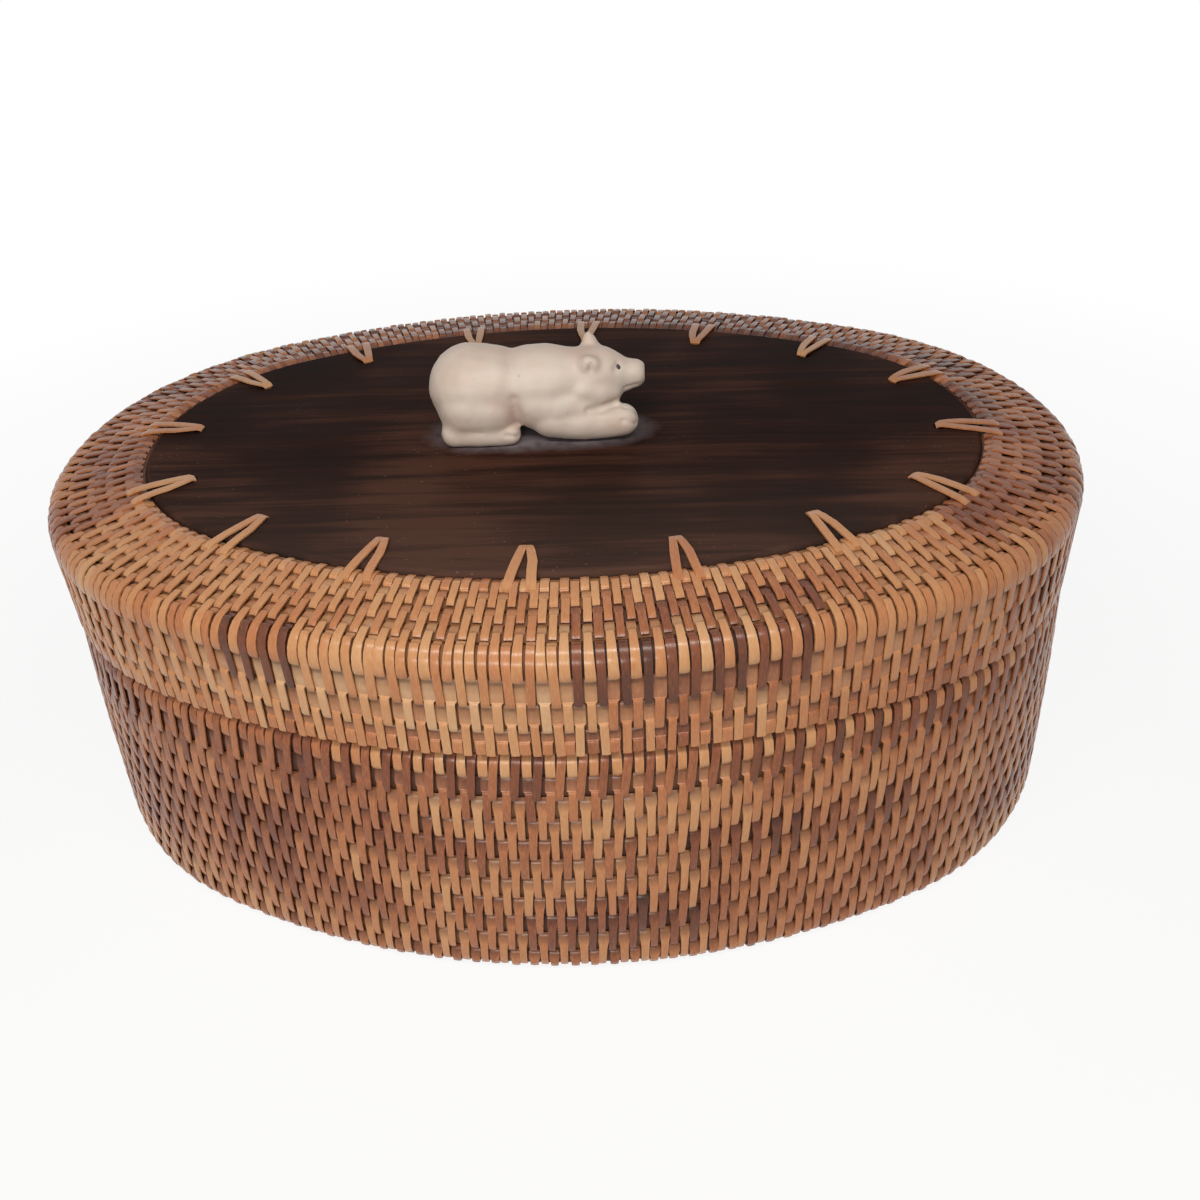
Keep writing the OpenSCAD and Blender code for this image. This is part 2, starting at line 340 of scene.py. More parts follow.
def wrapped_cane(colours):
    """Split rattan peel, wrapped by hand: a hard glossy skin with fine fibres along the strip,
    tone that changes from strip to strip, dust and painted shade where the ends are tucked in,
    and painted shade in the grooves."""
    made, tree = new_material("split_rattan_peel")
    part, wide = attribute(tree, "part"), attribute(tree, "wide")
    # Fibres are 0.15 mm apart across the strip and run on for several millimetres.
    place = add_node(tree, "ShaderNodeCombineXYZ", {
        "X": attribute(tree, "across"), "Y": maths(tree, "MULTIPLY", attribute(tree, "along"), 180.0),
        "Z": maths(tree, "MULTIPLY", attribute(tree, "pick"), 53.0)})
    fibre = add_node(tree, "ShaderNodeTexNoise", {
        "Vector": place, "Scale": 3.2, "Detail": 3.0, "Roughness": 0.6})
    # Stains drift over a hand's breadth of the weave.
    toned = swing(tree, fibre, 0.42, attribute(tree, "tone"))
    ramp = colour_ramp(tree, swing(tree, clouds(tree, 45.0), 0.35, toned), [
        (0.05, colours.straw), (0.3, colours.tan), (0.52, colours.orange), (0.74, colours.rust),
        (0.95, colours.brown)])
    # The very ends of a strip hold dust and are darkened further as painted shade of their neighbours.
    edge = maths(tree, "ABSOLUTE", maths(tree, "SUBTRACT", part, 0.5))
    dust_and_shade = span(tree, edge, 0.42, 0.5, 0.0, 0.25)
    # Painted shade: the wide start of a stitch, down between its neighbours, is darker still.
    first = span(tree, part, 0.08, 0.28, 0.5, 0.0)
    groove_shade = maths(tree, "MULTIPLY", span(tree, wide, 1.0, 1.15), first)
    shade = blend(tree, maths(tree, "MAXIMUM", groove_shade, dust_and_shade), ramp, linear("#5A3D2C"), "MULTIPLY")
    # The widest part, which lies flat in the groove, is greyed and darkened in patches: dust, and painted
    # shade of the groove.
    sunk = span(tree, wide, 1.2, 1.34, 0.0, 1.5)
    patchy = maths(tree, "MULTIPLY", sunk, clouds(tree, 620.0, 3.0), clamp=True)
    grimy_and_shaded = add_node(tree, "ShaderNodeHueSaturation", {
        "Saturation": span(tree, patchy, 0.0, 1.0, 1.0, 0.94),
        "Value": span(tree, patchy, 0.0, 1.0, 1.0, 0.88), "Color": shade})
    finish_material(tree, {
        "Base Color": grimy_and_shaded, "Roughness": span(tree, fibre, 0.0, 1.0, 0.14, 0.36),
        "Specular IOR Level": 0.3, "Normal": relief(tree, fibre, 0.35, 0.08)})
    return made


def coil_core():
    """Round rattan core between the strips: dull, and darker brown than the cane as painted shade of the
    gaps between the strips, with pores along its length."""
    made, tree = new_material("rattan_core")
    # Painted shade: the core's colours run darker than the cane's, for the shadow in the gaps.
    ramp = colour_ramp(tree, swing(tree, clouds(tree, 160.0), 0.5, attribute(tree, "tone")), [
        (0.1, linear("#8E6A48")), (0.35, linear("#7A5233")), (0.6, linear("#583626")),
        (0.9, linear("#362018"))])
    finish_material(tree, {
        "Base Color": ramp, "Roughness": 0.6, "Specular IOR Level": 0.3,
        "Normal": relief(tree, clouds(tree, 900.0, 3.0), 0.4, 0.1)})
    return made


def grain_colours(tree, colours):
    """The dark wood's grain: its colour ramp, and the noises of its lines and clouds."""
    # Grain lines are about 1.5 mm wide and run on for 60 mm.
    long = add_node(tree, "ShaderNodeMapping", {"Vector": object_spot(tree), "Scale": (0.06, 1.0, 1.0)})
    grain = add_node(tree, "ShaderNodeTexNoise", {
        "Vector": long, "Scale": 260.0, "Detail": 6.0, "Roughness": 0.62, "Distortion": 0.4})
    cloud = clouds(tree, 22.0)
    ramp = colour_ramp(tree, maths(tree, "MULTIPLY", grain, cloud), [
        (0.14, linear("#1C110E")), (0.24, colours.lacquer), (0.36, colours.grain)])
    return ramp, grain, cloud


def lacquered_wood(colours):
    """Dark hardwood under an old hand-rubbed lacquer: reddish grain along the length, pale dust specks
    and a front side painted paler as a painted reflection of the front light, in a satin gloss."""
    made, tree = new_material("lacquered_hardwood")
    ramp, grain, cloud = grain_colours(tree, colours)
    # Specks of dust and tiny pits are 0.3 mm across.
    specks = add_node(tree, "ShaderNodeTexVoronoi", {"Vector": object_spot(tree), "Scale": 420.0})
    dots = span(tree, specks, 0.05, 0.13, 0.3, 0.0)
    few = maths(tree, "MULTIPLY", dots, span(tree, cloud, 0.48, 0.62))
    dusty = blend(tree, few, ramp, linear("#8A7A70"))
    # The side towards the user is painted paler: a painted reflection of the front light.
    axes = add_node(tree, "ShaderNodeSeparateXYZ", {0: object_spot(tree)})
    front_reflection = span(tree, axes.outputs["Y"], -0.055, -0.012, 0.12, 0.0)
    finish_material(tree, {
        "Base Color": blend(tree, front_reflection, dusty, linear("#7C6A61")),
        "Roughness": span(tree, grain, 0.3, 0.7, 0.3, 0.5), "Specular IOR Level": 0.008,
        "Normal": relief(tree, grain, 0.12, 0.2)})
    return made


def carved_bone(colours):
    """Carved bone, rubbed smooth: off-white with a warm blush in broad patches, a soft sheen
    and a few grey pits."""
    made, tree = new_material("carved_bone")
    warm = span(tree, clouds(tree, 82.0), 0.4, 0.72)
    colour = blend(tree, warm, colours.bone, colours.bone_shade)
    pits = add_node(tree, "ShaderNodeTexVoronoi", {"Vector": object_spot(tree), "Scale": 110.0})
    hole = span(tree, pits, 0.02, 0.055, 0.35, 0.0)
    finish_material(tree, {
        "Base Color": blend(tree, hole, colour, linear("#8F857D")), "Roughness": 0.5,
        "Subsurface Weight": 0.12, "Subsurface Radius": (0.0012, 0.0008, 0.0005),
        "Normal": relief(tree, clouds(tree, 700.0, 3.0), 0.2, 0.1)})
    return made


def eye_paint():
    """A dot of black paint, dried with a slight gloss."""
    made, tree = new_material("black_eye_paint")
    ramp = colour_ramp(tree, clouds(tree, 2500.0), [
        (0.3, linear("#120E0D")), (0.7, linear("#2B2422"))])
    finish_material(tree, {"Base Color": ramp, "Roughness": 0.3})
    return made


def dried_glue(colours):
    """Glue that has dried grey and cloudy, with dust in it, so thin at its edge that the dark wood
    shows through."""
    made, tree = new_material("dried_glue")
    cloud = clouds(tree, 260.0, 4.0)
    ramp = colour_ramp(tree, cloud, [(0.25, linear("#584F52")), (0.75, colours.glue)])
    wood, _, _ = grain_colours(tree, colours)
    depth = attribute(tree, "depth")
    thin = maths(tree, "MINIMUM", swing(tree, cloud, 0.7, depth), depth, clamp=True)
    finish_material(tree, {
        "Base Color": blend(tree, thin, wood, ramp), "Roughness": 0.42, "Specular IOR Level": 0.008,
        "Normal": relief(tree, cloud, 0.2, 0.1)})
    return made


def material(name, maker, *args):
    """The material of that name, made once."""
    return bpy.data.materials.get(name) or maker(*args)


# The node tree that wraps one course

def wrapping_tree():
    """Sweeps a core round a course and sets a cane strip at each station of its outline."""
    found = bpy.data.node_groups.get("wrapped_course")
    if found:
        return found
    tree = bpy.data.node_groups.new("wrapped_course", "GeometryNodeTree")
    tree.is_modifier = True
    sockets = {
        "NodeSocketObject": ("Stations", "Core section", "Strip paths", "Strip section"),
        "NodeSocketFloat": ("Width spread", "Drift", "Lean", "Tone spread"),
        "NodeSocketInt": ("Seed",), "NodeSocketMaterial": ("Cane", "Core")}
    for kind, names in sockets.items():
        for name in names:
            tree.interface.new_socket(name=name, in_out="INPUT", socket_type=kind)
    tree.interface.new_socket(name="Geometry", in_out="OUTPUT", socket_type="NodeSocketGeometry")
    given = add_node(tree, "NodeGroupInput").outputs

    def shape(name):
        """Geometry of the object in that input."""
        return add_node(tree, "GeometryNodeObjectInfo", {"Object": given[name]}).outputs["Geometry"]

    def store(geometry, name, value, domain="POINT"):
        """Keep a value with the geometry."""
        return add_node(tree, "GeometryNodeStoreNamedAttribute", {
            "Geometry": geometry, "Name": name, "Value": value}, data_type="FLOAT", domain=domain)

    def own_seed(number):
        """Seed of one kind of unevenness."""
        return maths(tree, "ADD", given["Seed"], 101.0 * number)

    def chance(low, high, number):
        """A random value for each strip."""
        return add_node(tree, "FunctionNodeRandomValue", {2: low, 3: high, "Seed": own_seed(number)},
                        data_type="FLOAT").outputs[1]

    # The outline of the course as a closed curve, and the core round it
    outline = add_node(tree, "GeometryNodeMeshToCurve", {"Mesh": shape("Stations")})
    upright = add_node(tree, "GeometryNodeSetCurveNormal", {"Curve": outline}, mode="Z_UP")
    swept = add_node(tree, "GeometryNodeCurveToMesh", {
        "Curve": upright, "Profile Curve": shape("Core section"), "Fill Caps": True})
    core = add_node(tree, "GeometryNodeSetMaterial", {"Geometry": swept, "Material": given["Core"]})

    # One cane strip, with its own coordinates
    run = add_node(tree, "GeometryNodeSplineParameter")
    taper = add_node(tree, "GeometryNodeInputRadius")
    marked = store(shape("Strip paths"), "along", run.outputs["Length"])
    marked = store(marked, "part", run.outputs["Factor"])
    marked = store(marked, "wide", taper)
    flat = add_node(tree, "GeometryNodeSetCurveNormal", {
        "Curve": marked, "Normal": (0.0, 1.0, 0.0)}, mode="FREE")
    side = add_node(tree, "ShaderNodeSeparateXYZ", {0: add_node(tree, "GeometryNodeInputPosition")})
    side_mm = maths(tree, "MULTIPLY", side, 1000.0)
    strip = add_node(tree, "GeometryNodeCurveToMesh", {
        "Curve": flat, "Profile Curve": store(shape("Strip section"), "across", side_mm), "Scale": taper,
        "Fill Caps": True})

    # The strips round the course: each is turned to face outwards and set a little unevenly
    heading = add_node(tree, "GeometryNodeInputTangent")
    outwards = add_node(tree, "ShaderNodeVectorMath", {0: heading, 1: (0.0, 0.0, 1.0)},
                        operation="CROSS_PRODUCT")
    facing = add_node(tree, "FunctionNodeAlignRotationToVector", {"Vector": outwards},
                      axis="X", pivot_axis="Z")
    width = chance(maths(tree, "SUBTRACT", 1.0, given["Width spread"]),
                   maths(tree, "ADD", 1.0, given["Width spread"]), 0)
    scale = add_node(tree, "ShaderNodeCombineXYZ", {"X": 1.0, "Y": width, "Z": 1.0})
    placed = add_node(tree, "GeometryNodeInstanceOnPoints", {
        "Points": outline, "Instance": strip, "Rotation": facing, "Scale": scale})
    drift = add_node(tree, "FunctionNodeRandomValue", {
        0: maths(tree, "MULTIPLY", given["Drift"], -1.0), 1: given["Drift"], "Seed": own_seed(1)},
        data_type="FLOAT_VECTOR")
    even = add_node(tree, "ShaderNodeVectorMath", {0: drift, 1: (0.35, 1.0, 1.0)}, operation="MULTIPLY")
    moved = add_node(tree, "GeometryNodeTranslateInstances", {"Instances": placed, "Translation": even})
    lean = chance(maths(tree, "MULTIPLY", given["Lean"], -1.0), given["Lean"], 2)
    tilt = add_node(tree, "ShaderNodeCombineXYZ", {"X": lean})
    leaned = add_node(tree, "GeometryNodeRotateInstances", {"Instances": moved, "Rotation": tilt})
    pick = chance(0.0, 1.0, 3)
    own = add_node(tree, "GeometryNodeInputNamedAttribute", {"Name": "tone"}, data_type="FLOAT")
    off = maths(tree, "SUBTRACT", pick, 0.5)
    varied = maths(tree, "MULTIPLY_ADD", off, given["Tone spread"], own.outputs["Attribute"])
    picked = store(leaned, "pick", pick, "INSTANCE")
    toned = store(picked, "tone", varied, "INSTANCE")
    real = add_node(tree, "GeometryNodeRealizeInstances", {"Geometry": toned})
    cane = add_node(tree, "GeometryNodeSetMaterial", {"Geometry": real, "Material": given["Cane"]})
    joined = add_node(tree, "GeometryNodeJoinGeometry")
    tree.links.new(core.outputs[0], joined.inputs[0])
    tree.links.new(cane.outputs[0], joined.inputs[0])

    # The strip is smooth along its run and crisp at its two edges
    smooth = add_node(tree, "GeometryNodeSetShadeSmooth", {"Geometry": joined})
    fold = add_node(tree, "GeometryNodeInputMeshEdgeAngle")
    sharp = maths(tree, "GREATER_THAN", fold, math.radians(50))
    crisp = add_node(tree, "GeometryNodeSetShadeSmooth", {
        "Geometry": smooth, "Selection": sharp, "Shade Smooth": False}, domain="EDGE")
    add_node(tree, "NodeGroupOutput", {"Geometry": crisp})
    return tree


# Rails: the line that the cane follows across the courses, as offsets from the seam outline and heights

class Rail:
    """A line of offsets and heights. Its left hand is the outside of the basket's fabric."""

    def __init__(self, points):
        self.points = [Vector(p) for p in points]
        self.reach = [0.0]
        for a, b in zip(self.points, self.points[1:]):
            self.reach.append(self.reach[-1] + (b - a).length)

    def at(self, length):
        """Point at a length."""
        length = min(max(length, 0.0), self.reach[-1])
        for i in range(len(self.points) - 1):
            if length <= self.reach[i + 1]:
                break
        a, b = self.points[i], self.points[i + 1]
        share = (length - self.reach[i]) / max(self.reach[i + 1] - self.reach[i], 1e-9)
        return a.lerp(b, share)

    def lifted(self, length, lift, ease=0.9 * MM):
        """Point at a length, lifted off the rail along its smoothed outward normal."""
        run = (self.at(length + ease) - self.at(length - ease)).normalized()
        return self.at(length) + Vector((-run.y, run.x)) * lift

    def length_at(self, axis, value):
        """Length at which the rail first passes a value of its offset (0) or height (1)."""
        for i in range(len(self.points) - 1):
            a, b = self.points[i][axis], self.points[i + 1][axis]
            if min(a, b) <= value <= max(a, b) and abs(a - b) > 1e-9:
                return self.reach[i] + (value - a) / (b - a) * (self.reach[i + 1] - self.reach[i])
        raise ValueError(f"the rail never passes {value}")


def arc(centre, radius, start, end, steps=8):
    """Points of an arc in the plane of offset and height, in degrees."""
    angles = [math.radians(start + (end - start) * i / steps) for i in range(steps + 1)]
    return [(centre[0] + radius * math.cos(a), centre[1] + radius * math.sin(a)) for a in angles]


# How far the middle of a strip lies from the rail along the two courses that it holds, in millimetres, and
# its width there

def face_lift(knee, wide=1.05, narrow=0.92, tip=None, sunk=0.42, bends=0, tuck=False):
    """A strip lies flat and wide in the groove up to its knee, rides narrow over the strips of the next
    course, and is cut off square, at times with a wider tip, or tucked in. Bends are more points, for a
    curved rail."""
    tip = tip or narrow
    start = knee + 0.07
    last = 0.84 if tuck else 0.93
    points = [(-0.01, -0.6 - sunk, 0.9 * wide), (0.02, -0.2 - sunk, wide), (0.5 * knee, -sunk, wide),
              (knee - 0.012, -sunk, wide), (knee, -0.45 * sunk, 0.5 * (wide + narrow)),
              (knee + 0.012, 0.0, narrow), (knee + 0.03, 0.12, narrow), (start, 0.17, narrow)]
    for k in range(bends + 1):
        share = (k + 1) / (bends + 1)
        points.append((start + (last - start) * share, 0.17, narrow + (tip - narrow) * share))
    if tuck:
        return points + [(0.9, 0.1, tip), (0.95, -0.12, tip), (0.99, -sunk - 0.05, 0.95 * tip)]
    return points + [(0.985, 0.02, 0.9 * tip)]


# A stitch of the wall comes up wide and round out of the groove and thins down to its tucked tip.
STITCH_LIFT = [
    (-0.01, -1.0, 1.1), (0.03, -0.45, 1.28), (0.09, -0.22, 1.3), (0.16, -0.03, 1.26), (0.22, 0.15, 1.08),
    (0.29, 0.28, 0.97), (0.42, 0.33, 0.92), (0.62, 0.26, 0.9), (0.78, 0.15, 0.88), (0.9, -0.02, 0.86),
    (0.95, -0.22, 0.82), (0.985, -0.48, 0.76)]
TOP_LIFT = face_lift(0.26, 1.16, 0.95, sunk=0.24, tuck=True)
COURSE_LIFT = {
    "lid_top_course_4": TOP_LIFT,
    "lid_top_course_3": TOP_LIFT,
    "lid_top_course_2": face_lift(0.26, 1.16, 0.95, sunk=0.24, bends=1, tuck=True),
    "lid_top_course_1": face_lift(0.2, 1.1, 0.9, 1.24, 0.36, bends=5),
    "lid_shoulder_course": face_lift(0.1, 0.98, 0.92, sunk=0.36, bends=5),
    "lid_side_course_3": face_lift(0.42, 1.34),
    "lid_side_course_2": face_lift(0.34, 1.34),
    "lid_side_course_1": face_lift(0.24, 1.34, 1.1, bends=2),
    "base_wall_course_11": face_lift(0.05, 0.95, sunk=0.3, bends=6),
    "base_wall_course_10": face_lift(0.3, 1.34, bends=2),
}
BACK_LIFT = [
    (0.01, -1.0, 1.2), (0.05, -0.4, 1.25), (0.25, -0.15, 1.3), (0.5, -0.22, 1.1), (0.75, -0.05, 0.95),
    (0.95, -0.25, 0.95), (0.99, -1.1, 0.9)]
RIM_LIFT = [
    (0.0, -0.3, 1.0), (0.15, -0.1, 1.0), (0.35, 0.0, 1.0), (0.6, 0.06, 1.0), (0.85, 0.08, 1.0),
    (0.95, -0.2, 1.0), (0.99, -1.1, 0.95)]
FLOOR_LIFT = [
    (0.02, -1.0, 1.0), (0.07, -0.45, 1.0), (0.3, -0.25, 1.05), (0.6, -0.22, 1.0), (0.93, -0.45, 1.0),
    (0.98, -1.0, 1.0)]
# How far the lower end of a stitch is drawn sideways, in millimetres
SKEW = 0.5
RIM_SKEW = 1.4


def strip_path(rail, start, end, lifts, origin, limits=(-1.0, 1.0), skew=0.0):
    """Points of one strip along a rail, in the frame of its station: outwards, sideways, up, and width.
    Skew is how far its far end is drawn sideways, in millimetres."""
    points = []
    for share, lift, width in lifts:
        spot = rail.lifted(start + share * (end - start), lift * MM)
        height = min(max(spot.y, limits[0]), limits[1])
        points.append((spot.x - origin[0], skew * (0.4 - share) * MM, height - origin[1], width))
    return points


def course_box(node):
    """Outer offset from the seam outline, lowest and highest height of a course."""
    low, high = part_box(node)
    return high.x - HALF_L, low.z, high.z


# Cane tones: 0 is straw, 1 the darkest brown. A run of stitches from one length of cane shares its tone.

# Length of a run as a share of the outline, how far tones drift, and the tone of the inside
RUN_LENGTH = 0.045
TONE_DRIFT = 0.26
INSIDE_TONE = 0.38


def tone_at(share, base, runs, seed):
    """Tone of the cane at a share of the outline: a chosen run, or a slow seeded drift about the base."""
    start = FIRST_RUN
    for end, tone in runs:
        if start <= share < end:
            return tone
        start = end
    run = math.floor(share / RUN_LENGTH)
    return base + TONE_DRIFT * noise.noise(Vector((run * 3.7, seed * 1.9, 0.5)))


def station_mesh(name, row):
    """Line of stations round the oval, or straight for the start of the floor, with the tone at each."""
    data = bpy.data.meshes.new(name)
    count = row["count"]
    shares = [((i + row["phase"]) / count) % 1.0 for i in range(count)]
    offset, height = row["origin"]
    edges = [(i, (i + 1) % count) for i in range(count)]
    if "line" in row:
        start, end, y = row["line"]
        points = [(start + (end - start) * i / (count - 1), y, height) for i in range(count)]
        edges.pop()
    else:
        points = [(*oval_spot(normal_angle(s, row.get("spacing", 0.0)), offset), height) for s in shares]
    data.from_pydata(points, edges, [])
    layer = data.attributes.new("tone", "FLOAT", "POINT")
    layer.data.foreach_set("value", [row["tone"](s) for s in shares])
    return link_object(name, data)


def strip_outline(width, thickness):
    """Section of a cane strip: flat below, slightly crowned above, with crisp edges."""
    half, low, high = width / 2, -thickness / 2, thickness / 2
    shoulder = low + 0.8 * thickness
    inner = 0.97 * half
    return [(-half, low, 0), (half, low, 0), (inner, shoulder, 0), (0, high, 0), (-inner, shoulder, 0)]


# Unevenness of the strips: share of their width, shift, shift where they are packed close, lean, tone
WIDTH_SPREAD = 0.07
DRIFT = 0.16 * MM
CLOSE_DRIFT = 0.1 * MM
LEAN = 0.035
TONE_SPREAD = 0.2


def wrap(name, rows, core, weave, colours, seed):
    """Build one wrapped course. Each row has its stations, strip paths and strip width;
    core is the outline of the core's section. Returns the piece."""
    cane = material("split_rattan_peel", wrapped_cane, colours)
    inside = material("rattan_core", coil_core)
    parts = []
    for number, row in enumerate(rows):
        stations = station_mesh(name + "_stations", row)
        paths = poly_curve(name + "_paths", row["paths"])
        section = poly_curve(name + "_strip", [strip_outline(row["width"], weave.strip_thickness)], True)
        core_points = row.get("core") or (core if core and number == 0 else [])
        shift = 0.0 if "line" in row else row["origin"][0]
        centre = [(x - shift, row["origin"][1] - z, 0) for x, z in core_points]
        body = poly_curve(name + "_core", [centre] if centre else [], True)
        holder = link_object(name + "_row", bpy.data.meshes.new(name + "_row"))
        modifier = holder.modifiers.new("wrapping", "NODES")
        modifier.node_group = wrapping_tree()
        set_inputs(modifier, stations=stations, core_section=body, strip_paths=paths, strip_section=section,
                   width_spread=WIDTH_SPREAD, drift=row.get("drift", DRIFT), lean=row.get("lean", LEAN),
                   tone_spread=TONE_SPREAD, seed=seed * 10 + number, cane=cane, core=inside)
        parts.append(link_object(name, plain_mesh(holder)))
        drop(holder, stations, paths, section, body)
    piece = parts[0]
    if len(parts) > 1:
        with bpy.context.temp_override(active_object=piece, object=piece, selected_objects=parts,
                                       selected_editable_objects=parts):
            bpy.ops.object.join()
    piece.name = name
    return piece


BULGE = 0.6 * MM
INSET = 0.5 * MM
FOOT_INSET = 0.3 * MM


def wall_core(x0, x1, z0, z1):
    """Outline of a standing course's core: drawn in by the cane, with rounded outer and inner faces."""
    mid, quarter = (z0 + z1) / 2, (z1 - z0) / 4
    x0, x1 = x0 + INSET, x1 - INSET
    return [(x0 + BULGE, z0), (x0, mid), (x0 + BULGE, z1), (x1 - BULGE, z1), (x1 - BULGE / 4, mid + quarter),
            (x1, mid), (x1 - BULGE / 4, mid - quarter), (x1 - BULGE, z0)]


def flat_core(x0, x1, z0, z1):
    """Outline of a lying course's core, rounded above and below."""
    z0, z1 = z0 + INSET, z1 - INSET
    mid, quarter = (x0 + x1) / 2, (x1 - x0) / 4
    return [(x0, z0 + BULGE), (x0, z1 - BULGE), (mid - quarter, z1 - BULGE / 4), (mid, z1),
            (mid + quarter, z1 - BULGE / 4), (x1, z1 - BULGE), (x1, z0 + BULGE), (mid, z0)]


def roll_rise(roll):
    """Height of a rolled edge's centre above the joint below it."""
    return math.sqrt(2 * roll * BULGE - BULGE * BULGE)


def rolled_core(x0, x1, z0, z1, roll, foot=False):
    """Outline of the core of a course whose upper outer edge, or lower one at the foot, is rolled over."""
    rise = roll_rise(roll)
    cover = FOOT_INSET if foot else INSET
    bend = roll - cover
    top = z1 - cover
    tip = math.degrees(math.asin(min(1.0, (top - z0 - rise) / bend)))
    x0 = x0 + INSET
    points = [(x0, z0), (x0, top)] + arc((x1 - roll, z0 + rise), bend, tip, 0, 6)
    points.append((x1 - INSET - BULGE, z0))
    if foot:
        points = [(x, z0 + z1 - z) for x, z in reversed(points)]
    return points


# Runs of darker and paler cane that a maker worked in: base tone of a course, then the end and tone of
# each run. Places are shares of the outline from the right end, by way of the far side, the left end and
# the front. The first run starts near the left end.

FIRST_RUN = 0.57
CANE_RUNS = {
    "lid_top_course_4": (0.70, [(0.66, 0.40), (0.78, 0.38), (0.90, 0.34)]),
    "lid_top_course_3": (0.70, [(0.70, 0.40), (0.768, 0.42), (0.84, 0.58), (0.90, 0.48)]),
    "lid_top_course_2": (0.70, [(0.66, 0.40), (0.76, 0.42), (0.84, 0.74), (0.90, 0.48)]),
    "lid_top_course_1": (0.66, [(0.68, 0.42), (0.84, 0.36), (0.92, 0.44)]),
    "lid_shoulder_course": (0.54, [(0.648, 0.44), (0.676, 0.80), (0.76, 0.38), (0.832, 0.88), (0.92, 0.46)]),
    "lid_side_course_3": (0.52, [(0.66, 0.34), (0.77, 0.18), (0.83, 0.56), (0.90, 0.46)]),
    "lid_side_course_2": (0.52, [(0.66, 0.36), (0.77, 0.32), (0.83, 0.40), (0.90, 0.50)]),
    "lid_side_course_1": (0.56, [(0.66, 0.46), (0.76, 0.50), (0.83, 0.60), (0.90, 0.58)]),
    "base_wall_course_11": (0.66, [(0.68, 0.66), (0.75, 0.74), (0.80, 0.68), (0.90, 0.80)]),
    "base_wall_course_10": (0.56, [(0.75, 0.68), (0.80, 0.54), (0.90, 0.52)]),
    "base_wall_course_9": (0.54, [(0.70, 0.54), (0.82, 0.36), (0.90, 0.50)]),
    "base_wall_course_8": (0.54, [(0.66, 0.56), (0.748, 0.60), (0.82, 0.38), (0.90, 0.50)]),
    "base_wall_course_7": (0.58, [(0.67, 0.68), (0.79, 0.66), (0.87, 0.80), (0.92, 0.54)]),
    "base_wall_course_6": (0.54, [(0.68, 0.56), (0.80, 0.43), (0.90, 0.53)]),
    "base_wall_course_5": (0.55, [(0.70, 0.64), (0.80, 0.42), (0.90, 0.53)]),
    "base_wall_course_4": (0.54, [(0.70, 0.64), (0.765, 0.58), (0.79, 0.78), (0.90, 0.56)]),
    "base_wall_course_3": (0.54, [(0.74, 0.52), (0.80, 0.74), (0.90, 0.58)]),
    "base_wall_course_2": (0.50, [(0.80, 0.40), (0.90, 0.48)]),
    "base_wall_course_1": (0.56, [(0.90, 0.58)]),
    "base_rim": (0.50, [(0.68, 0.64), (0.89, 0.36)]),
}


def cane_tones(name, seed):
    """The tone of the cane by share of the outline."""
    base, runs = CANE_RUNS.get(name, (INSIDE_TONE, []))
    return lambda share: tone_at(share, base, runs, seed)


def stitch_row(weave, origin, phase, tone, paths, **more):
    """A row of stitches: its stations, the tone of its cane and the paths of its strips."""
    return {"count": weave.stitches, "width": weave.strip_width, "origin": origin, "phase": phase,
            "tone": tone, "paths": paths, **more}


def wrap_course(context, body, node, rows, core, number, slot="cane"):
    """Wrap a course, and let it stand for its node."""
    weave = context.scene.basket_weave
    piece = wrap(node + "_cane", rows, core, weave, context.scene.basket_colours, weave.seed + number)
    dress(piece, body, slot, node)


# The wrapped courses

# Seeds of the groups, to which the number of a course is added
RIM_SEED = 12
COLLAR_SEED = 20
FLOOR_SEED = 40
START_SEED = 60
LID_SEED = 70
CEILING_SEED = 80
LID_BACK_SEED = 90
LACING_SEED = 120


def base_face(weave):
    """Rail over the rim, down the swelling wall and under the foot, with the lengths of its joints."""
    boxes = [course_box(f"base_wall_course_{i}") for i in range(11, 0, -1)]
    rise = roll_rise(weave.roll)
    inner = boxes[0][0] - weave.wall
    top, low = boxes[0][2], boxes[-1][1]
    height = boxes[0][2] - boxes[0][1]
    bend = math.degrees(math.asin((height - rise) / weave.roll))
    points = [(inner, top)]
    points += arc((boxes[0][0] - weave.roll, boxes[0][1] + rise), weave.roll, bend, 0)
    points += [(x, (z0 + z1) / 2) for x, z0, z1 in boxes[1:-1]]
    points += arc((boxes[-1][0] - weave.roll, boxes[-1][2] - rise), weave.roll, 0, -bend)
    foot = len(points) - 1
    points.append((boxes[-1][0] - weave.wall, low))
    rail = Rail(points)
    joints = [0.0] + [rail.length_at(1, z0) for _, z0, _ in boxes[:-1]] + [rail.reach[foot], rail.reach[-1]]
    return rail, joints


# How far the middle of a strip keeps from the ground and from the joint between base and lid
GROUND_GAP = 0.45 * MM
SEAM_GAP = 0.2 * MM
LID_GAP = 0.4 * MM


